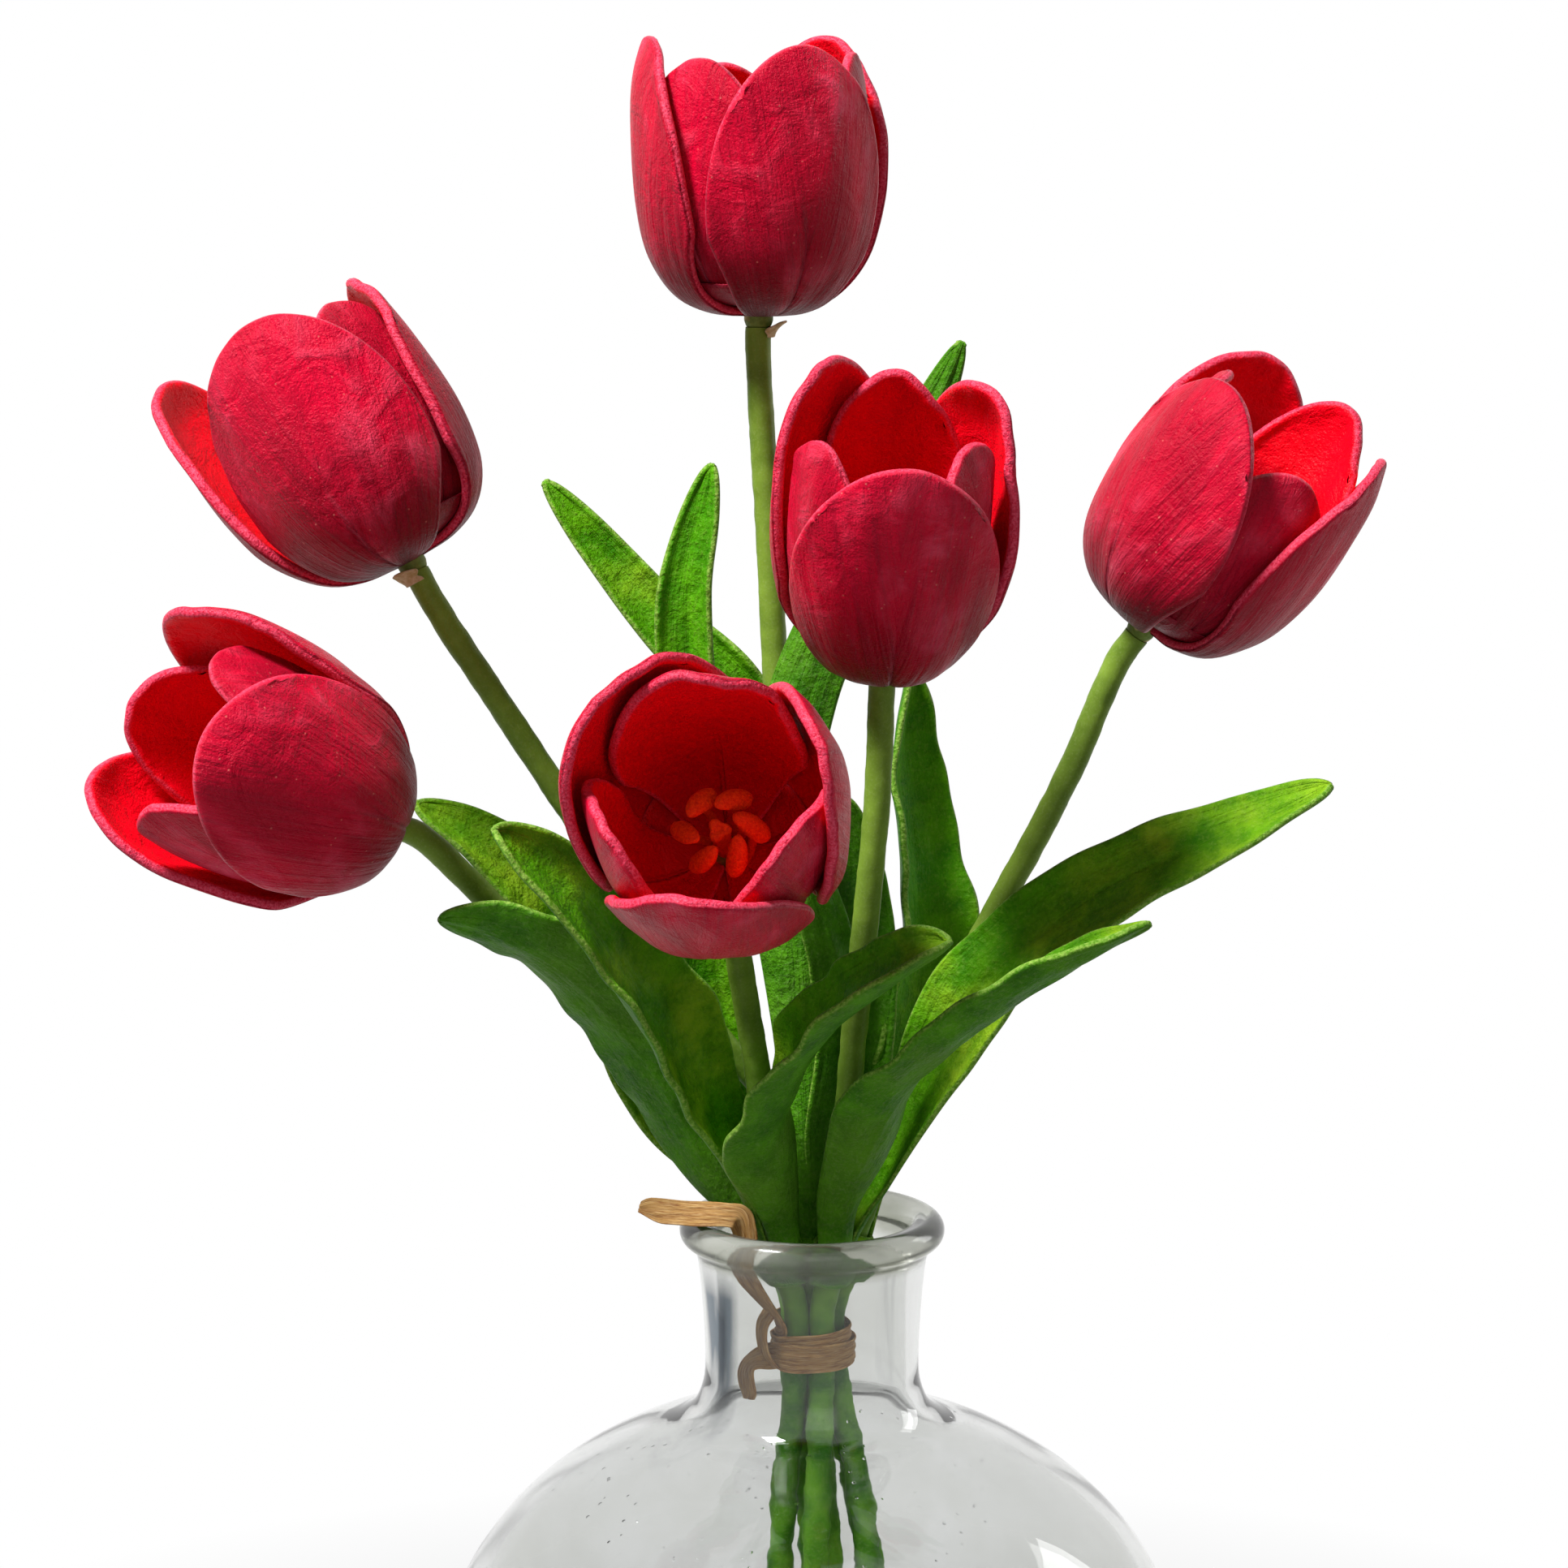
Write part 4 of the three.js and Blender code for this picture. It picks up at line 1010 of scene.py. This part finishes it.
def make_cores(orange, olive, red, cream):
    """Each head's plug, pistil and stamens, the disc at its petals' foot, and its torn scrap."""
    stamen = stamen_shape(orange)
    tree = stamen_tree()
    for k, head in enumerate(HEADS):
        stamens = make_stamens(head, 11 + k, stamen, tree, orange)
        pistil = piece("core_middle_" + head["name"], *pistil_shape(), orange)
        plug = piece("plug_" + head["name"], *plug_shape(), olive)
        cup = base_cup(head, red)
        place = head_place(head)
        place.translation *= MM
        for part in (stamens, pistil, plug, cup):
            part.data.transform(place)
            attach(part, "head_" + head["name"])
            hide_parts("core_" + head["name"])
        if head["name"] in SLEEVE_FLAPS:
            flap = sleeve_flap(head, SLEEVE_FLAPS[head["name"]], cream)
            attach(flap, "head_" + head["name"])
            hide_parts("core_" + head["name"])
    bpy.data.objects.remove(stamen, do_unlink=True)


# Stems.
def ring_point(name, radius, z, twist=0):
    """Where a stem stands in its ring, or the middle for the stem that the others stand round."""
    turn = STEMS[name]["turn"]
    if turn is None:
        return [0, 0, z]
    turn = math.radians(turn + twist)
    return [radius * math.cos(turn), radius * math.sin(turn), z]


def stem_route(head):
    """A stem's middle line, from the floor of the bottle up to its head."""
    name = head["name"]
    axis = unit(head["tip"])
    end = np.array(over(head["base"])) - axis * (PLUG_BELOW + 0.03)
    low = [np.array(ring_point(name, BOTTOM_RING, z, BOTTOM_TWIST)) + [BOTTOM_SHIFT, 0, 0]
           for z in (FLOOR + CLEARANCE, SPREAD_HEIGHT)]
    tight = [ring_point(name, TIE_RING - STEM_SQUEEZE, TIE_HEIGHT + z) for z in (-5, 4.5)]
    lip = ring_point(name, LIP_RING, BOTTLE_HEIGHT)
    above = [over(p) for p in STEMS[name]["above"]]
    return Route([*low, *tight, lip, *above, end - 6 * axis, end])


def tube_tree():
    """A round tube along a curve, its skin pushed in and out a little, more so low down."""
    tree = bpy.data.node_groups.new("soft_tube", "GeometryNodeTree")
    tree_inputs(tree, "Geometry", Geometry=None)
    tree_inputs(tree, "Float", Radius=STEM_DIAMETER / 2 * MM, Bumps=STEM_BUMPS, Low_Bumps=LOW_BUMPS,
                Low_Height=LOW_HEIGHT)
    tree_inputs(tree, "Int", Sides=STEM_SIDES)
    tree_inputs(tree, "Material", Finish=None)
    tree.interface.new_socket("Geometry", in_out="OUTPUT", socket_type="NodeSocketGeometry")
    given = tree.nodes.new("NodeGroupInput")
    out = tree.nodes.new("NodeGroupOutput")

    def add(kind, links=(), **settings):
        return tree_node(tree, kind, links, **settings).outputs[0]

    outline = add("GeometryNodeCurvePrimitiveCircle", [("Resolution", given.outputs["Sides"]),
                                                       ("Radius", given.outputs["Radius"])])
    tube = add("GeometryNodeCurveToMesh", [("Curve", given.outputs["Geometry"]), ("Profile Curve", outline),
                                           ("Fill Caps", True)])
    where = add("GeometryNodeInputPosition")
    height = tree_node(tree, "ShaderNodeSeparateXYZ", [(0, where)]).outputs[2]
    lumps = add("ShaderNodeTexNoise", [("Vector", where), ("Scale", 240.0), ("Detail", 3.0)])
    centred = add("ShaderNodeMath", [(0, lumps), (1, 0.5)], operation="SUBTRACT")
    amount = add("ShaderNodeMapRange", [("Value", height), ("From Min", given.outputs["Low Height"]),
                                        ("From Max", 0.0), ("To Min", given.outputs["Bumps"]),
                                        ("To Max", given.outputs["Low Bumps"])])
    size = add("ShaderNodeMath", [(0, centred), (1, amount)], operation="MULTIPLY")
    push = add("ShaderNodeVectorMath", [(0, add("GeometryNodeInputNormal")), ("Scale", size)],
               operation="SCALE")
    skin = add("GeometryNodeSetPosition", [("Geometry", tube), ("Offset", push)])
    coated = add("GeometryNodeSetMaterial", [("Geometry", skin), ("Material", given.outputs["Finish"])])
    whole = add("GeometryNodeRealizeInstances", [("Geometry", coated)])
    tree.links.new(whole, out.inputs[0])
    return tree


def curve_holder(points):
    """A bare curve through points in millimetres, for a tree to grow on."""
    data = bpy.data.curves.new("holder", "CURVE")
    data.dimensions = "3D"
    spline = data.splines.new("POLY")
    spline.points.add(len(points) - 1)
    for target, p in zip(spline.points, points):
        target.co = (p[0] * MM, p[1] * MM, p[2] * MM, 1)
    made = bpy.data.objects.new("holder", data)
    bpy.context.scene.collection.objects.link(made)
    return made


def make_stems(finish):
    """The six stems, each a soft tube along its own line."""
    tree = tube_tree()
    for head in HEADS:
        route = stem_route(head)
        holder = curve_holder(route.at(np.linspace(0, 1, int(route.length / STEM_STEP))))
        skin = holder.modifiers.new("tube", "NODES")
        skin.node_group = tree
        set_inputs(skin, tree, Radius=STEM_DIAMETER / 2 * MM, Bumps=STEM_BUMPS, Low_Bumps=LOW_BUMPS,
                   Low_Height=LOW_HEIGHT, Sides=STEM_SIDES, Finish=finish)
        bpy.context.view_layer.update()
        stem = keep_as_mesh(holder, "soft_stem_" + head["name"])
        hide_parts("stem_" + head["name"])
        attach(stem, "bunch")


# Leaves.
def sheath_start(name):
    """Height of a sheath's foot. The middle stem's sits higher, clear of the others."""
    return BOTTLE_HEIGHT - (SHEATH_DEPTH - SHEATH_RISE if STEMS[name]["turn"] is None else SHEATH_DEPTH)


def blade_spine(name, leaf, route, out):
    """A blade's middle line: up along its sheath, then through its own points."""
    points = []
    for height in (1, SHEATH_LENGTH / 2, SHEATH_LENGTH):
        share = route.share_at_height(sheath_start(name) + height)
        away = across_of(out, route.along(share))
        points.append(route.at(share) + away * (SHEATH_RADIUS + 0.2))
    return Route(points + [over(p) for p in leaf["path"]])


def blade_lift(u, v, wide, phase):
    """How far a blade's face stands off its smooth form: a wavy rim, soft puckers and a sunk middle rib."""
    waves = (np.sin(v * 15 + phase[0] + 0.8 * np.sign(u)) + 0.6 * np.sin(v * 31 + phase[1] * np.sign(u))
             + 0.35 * np.sin(v * 57 + phase[2] * np.sign(u)))
    rim = 0.6 * waves * np.abs(u) ** 2.5 * (wide / 8)[:, None] * smooth(v, 0.2, 0.4)
    pucker = np.sin(v * 24 + 3 * u + phase[3]) * np.cos(5 * u + phase[1])
    pucker = pucker + 0.6 * np.sin(v * 43 - 6 * u + phase[2])
    rib = np.exp(-(u / 0.07) ** 2) * smooth(v, 0.15, 0.3) * (1 - smooth(v, 0.7, 0.95))
    return rim + 0.24 * pucker * (1 - u * u) * smooth(v, 0.15, 0.3) - 0.35 * rib


def blade_sheet(name, leaf, route, seed):
    """One foam blade: wrapped half round its stem at the foot, then opening to a shallow hollow."""
    side = math.radians(leaf["side"])
    out = np.array([math.cos(side), math.sin(side), 0])
    spine = blade_spine(name, leaf, route, out)
    rng = np.random.default_rng(seed)
    phase = rng.uniform(0, 2 * math.pi, 4)
    t = np.linspace(0, 1, LEAF_ROWS + 1)
    u, v = grid(LEAF_COLUMNS, 1 - (1 - t) ** 1.5)
    line = v[:, 0]
    middle = spine.at(line)
    along = spine.along(line, 0.01)
    first = lerp(-out, unit(leaf["middle"]), smooth(line, 0.08, 0.5)[:, None])
    second = lerp(unit(leaf["middle"]), unit(leaf["end"]), (line * 2 - 1)[:, None])
    facing = across_of(np.where((line < 0.5)[:, None], first, second), along)
    across = unit(np.cross(along, facing))
    grown = smooth(line, 0.04, leaf.get("full", 0.45))
    tip = np.sqrt(np.maximum(0, 1 - (np.maximum(0, line - 0.4) / 0.6) ** leaf.get("blunt", 2.3)))
    foot = SHEATH_RADIUS * math.radians(SHEATH_WRAP)
    wide = np.maximum(0.35, lerp(foot, leaf["wide"], grown) * tip - 0.3)
    bend = lerp(math.radians(SHEATH_WRAP), math.radians(leaf["bend"]), smooth(line, 0, 0.4))
    radius = (wide / bend)[:, None]
    a = bend[:, None] * u
    rise = radius * (1 - np.cos(a)) + blade_lift(u, v, wide, phase)
    points = middle[:, None, :] + across[:, None, :] * (radius * np.sin(a))[..., None]
    points = points + facing[:, None, :] * rise[..., None]
    roll = 1 - 0.2 * u * u + 0.45 * smooth(np.abs(u), 0.8, 1) * smooth(v, 0.12, 0.3)
    half = (lerp(SHEATH_WALL, LEAF_THICKNESS, grown) / 2)[:, None] * roll
    return slab(points, half, u, v)


def sheath_sheet(name, route):
    """The short tube that holds a pair of leaves on its stem."""
    start = sheath_start(name)
    low = route.at(route.share_at_height(start))
    high = route.at(route.share_at_height(start + SHEATH_LENGTH))
    one = unit(np.cross(unit(high - low), [0, 1, 0.1]))
    two = np.cross(unit(high - low), one)
    u, v = grid(SHEATH_COLUMNS, np.linspace(0, 1, SHEATH_ROWS + 1))
    a = u * math.pi * 0.985
    points = (low + (high - low) * v[..., None] + one * (SHEATH_RADIUS * np.cos(a))[..., None]
              + two * (SHEATH_RADIUS * np.sin(a))[..., None])
    return slab(points, SHEATH_WALL / 2, u, v)


def make_leaves(finish):
    """The six pairs of leaves, each pair one piece with its sheath."""
    for k, head in enumerate(HEADS):
        name = head["name"]
        route = stem_route(head)
        sheets = [blade_sheet(name, leaf, route, 7 * k + i) for i, leaf in enumerate(LEAVES[name])]
        sheets.append(sheath_sheet(name, route))
        leaves = join_sheets("foam_leaves_" + name, sheets, finish, [2 * k, 2 * k + 1, 2 * k + 0.5])
        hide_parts("leaves_" + name)
        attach(leaves, "bunch")


# Raffia.
def raffia_points():
    """Middle points of the strip and the way that its face looks at each."""
    tail = RAFFIA_WIDTH * 0.35 + CLEARANCE
    points = [
        (over([-31, -6, tail + 0.2]), (0, -0.7, 0.7)),
        (over([-22, -8.5, tail + 0.1]), (0, -0.7, 0.7)),
        (over([-15.2, -10.8, tail + 0.4]), (0, -0.75, 0.65)),
        (over([-13.2, -11.2, tail + 0.1]), (-0.2, -0.8, 0.55)),
        (over([-12.3, -11.1, 0.4]), (-0.5, -0.8, 0.2)),
        (over([-11.5, -10.7, -4]), (-0.7, -0.7, 0)),
        (over([-10.6, -9.8, -9]), (-0.7, -0.7, 0)),
    ]
    for t in np.linspace(0, RAFFIA_TURNS, RAFFIA_TURNS * TURN_STEPS + 1):
        a = math.radians(RAFFIA_FIRST - t * 360)
        r = RAFFIA_START + t * RAFFIA_STEP
        z = TIE_HEIGHT + 1.9 - 4.5 * min(t, 1) - 1.2 * max(0, t - 1)
        points.append(([r * math.cos(a), r * math.sin(a), z], (math.cos(a), math.sin(a), 0)))
    points.append(([-11.3, -4.6, TIE_HEIGHT - 5.5], (-0.9, -0.4, 0.1)))
    points.append(([-11.6, -5.4, TIE_HEIGHT - 12], (-0.7, -0.7, 0)))
    return points


def knot_sheet():
    """The loop that the ends make round the turns, pulled flat."""
    turn = math.radians(RAFFIA_FIRST - 6)
    out = np.array([math.cos(turn), math.sin(turn), 0])
    aside = np.array([-out[1], out[0], 0])
    outer = RAFFIA_START + RAFFIA_TURNS * RAFFIA_STEP + 0.3
    loop = [(-0.2, 4.2), (1.3, 2.2), (1.7, -0.8), (1.1, -3.8), (-0.2, -5.8)]
    line = Route([out * (outer + r) + [0, 0, TIE_HEIGHT + z] for r, z in loop], RAFFIA_STEPS).line
    along = unit(np.gradient(line, axis=0))
    u, v = grid(KNOT_COLUMNS, np.linspace(0, 1, len(line)))
    ridge = 0.2 * np.sin(u * 7 + 2 * v) + 0.1 * np.sin(u * 15)
    spread = u * (2.3 - 0.5 * np.sin(v * math.pi)) + 1.2 * (v - 0.5)
    middle = line[:, None] + aside * spread[..., None] + np.cross(aside, along)[:, None] * ridge[..., None]
    return slab(middle, RAFFIA_THICKNESS / 2 * 0.8, u, v, STRIP_RIM)


def make_raffia(finish):
    """The strip, in its turns round the stems, with folds and ridges along its fibres."""
    points = raffia_points()
    line = Route([p for p, _ in points], RAFFIA_STEPS).line
    along = unit(np.gradient(line, axis=0))
    spot = np.arange(len(line)) / RAFFIA_STEPS
    ways = unit([way for _, way in points])
    faces = np.stack([np.interp(spot, np.arange(len(points)), c) for c in ways.T], -1)
    faces = across_of(faces, along)
    across = np.cross(along, faces)
    run = np.r_[0, np.cumsum(np.linalg.norm(np.diff(line, axis=0), axis=1))]
    u, v = grid(RAFFIA_COLUMNS, run / RAFFIA_GRAIN)
    ridge = 0.16 * np.sin(u * 8.3 + 0.7 * np.sin(v * 1.7)) + 0.08 * np.sin(u * 19 + v * 0.9)
    ends = smooth(np.minimum(v, v[-1:] - v) * RAFFIA_GRAIN, -2.5, 3.5 + 2 * u)
    edge = (1 + 0.05 * np.sin(v * 3.1) + 0.03 * np.sin(v * 7.7)) * ends
    middle = (line[:, None] + across[:, None] * (u * edge * (RAFFIA_WIDTH / 2 - 0.2))[..., None]
              + faces[:, None] * ridge[..., None])
    sheet = slab(middle, RAFFIA_THICKNESS / 2 * 0.8, u, v, STRIP_RIM)
    strip = join_sheets("raffia_strip", [sheet, knot_sheet()], finish, [0, 1])
    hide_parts("raffia_tie")
    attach(strip, "bunch")


# Room.
def make_floor():
    """A plain pale floor that keeps the shadow and runs into the white round it."""
    f = Finish("floor_pale", Base_Color=(FLOOR_GREY, FLOOR_GREY, FLOOR_GREY, 1), Roughness=0.9,
               Specular_IOR_Level=0.1)
    glow = f.node("Emission", {"Color": (1, 1, 1, 1), "Strength": 1.0})
    camera, gloss, glass = [f.node("LightPath", {}, name) for name in SEES_WHITE]
    seen = f.sum("MAXIMUM", camera, f.sum("MAXIMUM", gloss, glass))
    level = f.node("VectorMath", {0: f.place(), 1: (1, 1, 0)}, operation="MULTIPLY")
    far = f.node("VectorMath", {0: level}, 1, operation="LENGTH")
    share = f.times(seen, f.span(far, 0.09, 0.25, 0.6, 1.0))
    f.put(f.out, "Surface", f.node("MixShader", {0: share, 1: f.surface.outputs[0], 2: glow}))
    corners = [[x * FLOOR_HALF, y * FLOOR_HALF, 0] for x, y in ((-1, -1), (1, -1), (1, 1), (-1, 1))]
    floor = piece("floor", corners, [[0, 1, 2, 3]], f.material)


def make_world():
    """White where the camera, gloss and glass look, softer as light on the object."""
    world = bpy.data.worlds.new("studio")
    bpy.context.scene.world = world
    world.use_nodes = True
    tree = world.node_tree
    back = tree.nodes["Background"]
    back.inputs["Color"].default_value = (1, 1, 1, 1)
    path = tree_node(tree, "ShaderNodeLightPath")
    camera, gloss, glass = [path.outputs[name] for name in SEES_WHITE]
    either = tree_node(tree, "ShaderNodeMath", [(0, gloss), (1, glass)], operation="MAXIMUM")
    seen = tree_node(tree, "ShaderNodeMath", [(0, camera), (1, either.outputs[0])], operation="MAXIMUM")
    strength = tree_node(tree, "ShaderNodeMapRange", [("Value", seen.outputs[0]), ("To Min", WORLD_LIGHT)])
    tree.links.new(strength.outputs[0], back.inputs["Strength"])


def make_lamp(name, place, aim, size, power):
    """A soft flat lamp, turned to its aim. Its place and size are in metres and its power in watts."""
    data = bpy.data.lights.new(name, "AREA")
    data.shape = "RECTANGLE"
    data.size, data.size_y = size
    data.energy = power
    made = bpy.data.objects.new(name, data)
    made.location = place
    made.rotation_mode = "QUATERNION"
    made.rotation_quaternion = (Vector(aim) - Vector(place)).to_track_quat("-Z", "Y")
    bpy.context.scene.collection.objects.link(made)


def make_lights():
    """The key high at the left, a weak fill in front and a low rim light at the right."""
    make_world()
    make_lamp("key_soft", place=(-0.76, -0.54, 1.65), aim=(0, 0, 0.22), size=(0.4, 0.4), power=58)
    make_lamp("fill_soft", place=(0.2, -1.2, 0.5), aim=(0, 0, 0.2), size=(0.7, 0.7), power=1.3)
    make_lamp("rim_soft", place=(0.95, 0.5, 0.5), aim=(0, 0, 0.25), size=(0.3, 0.6), power=2.6)


# Making.
make_camera()
scene = bpy.context.scene
scene.view_settings.view_transform = "Standard"
make_floor()
make_lights()
bottle = make_bottle(glass_finish())
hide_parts("glass_bottle")
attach(bottle, "bottle")
make_stems(stem_finish())
make_leaves(leaf_finish())
make_raffia(raffia_finish())
petals = petal_finish()
for flower in HEADS:
    make_petals(flower, petals)
make_cores(stamen_finish(), plug_finish(), petals, scrap_finish())
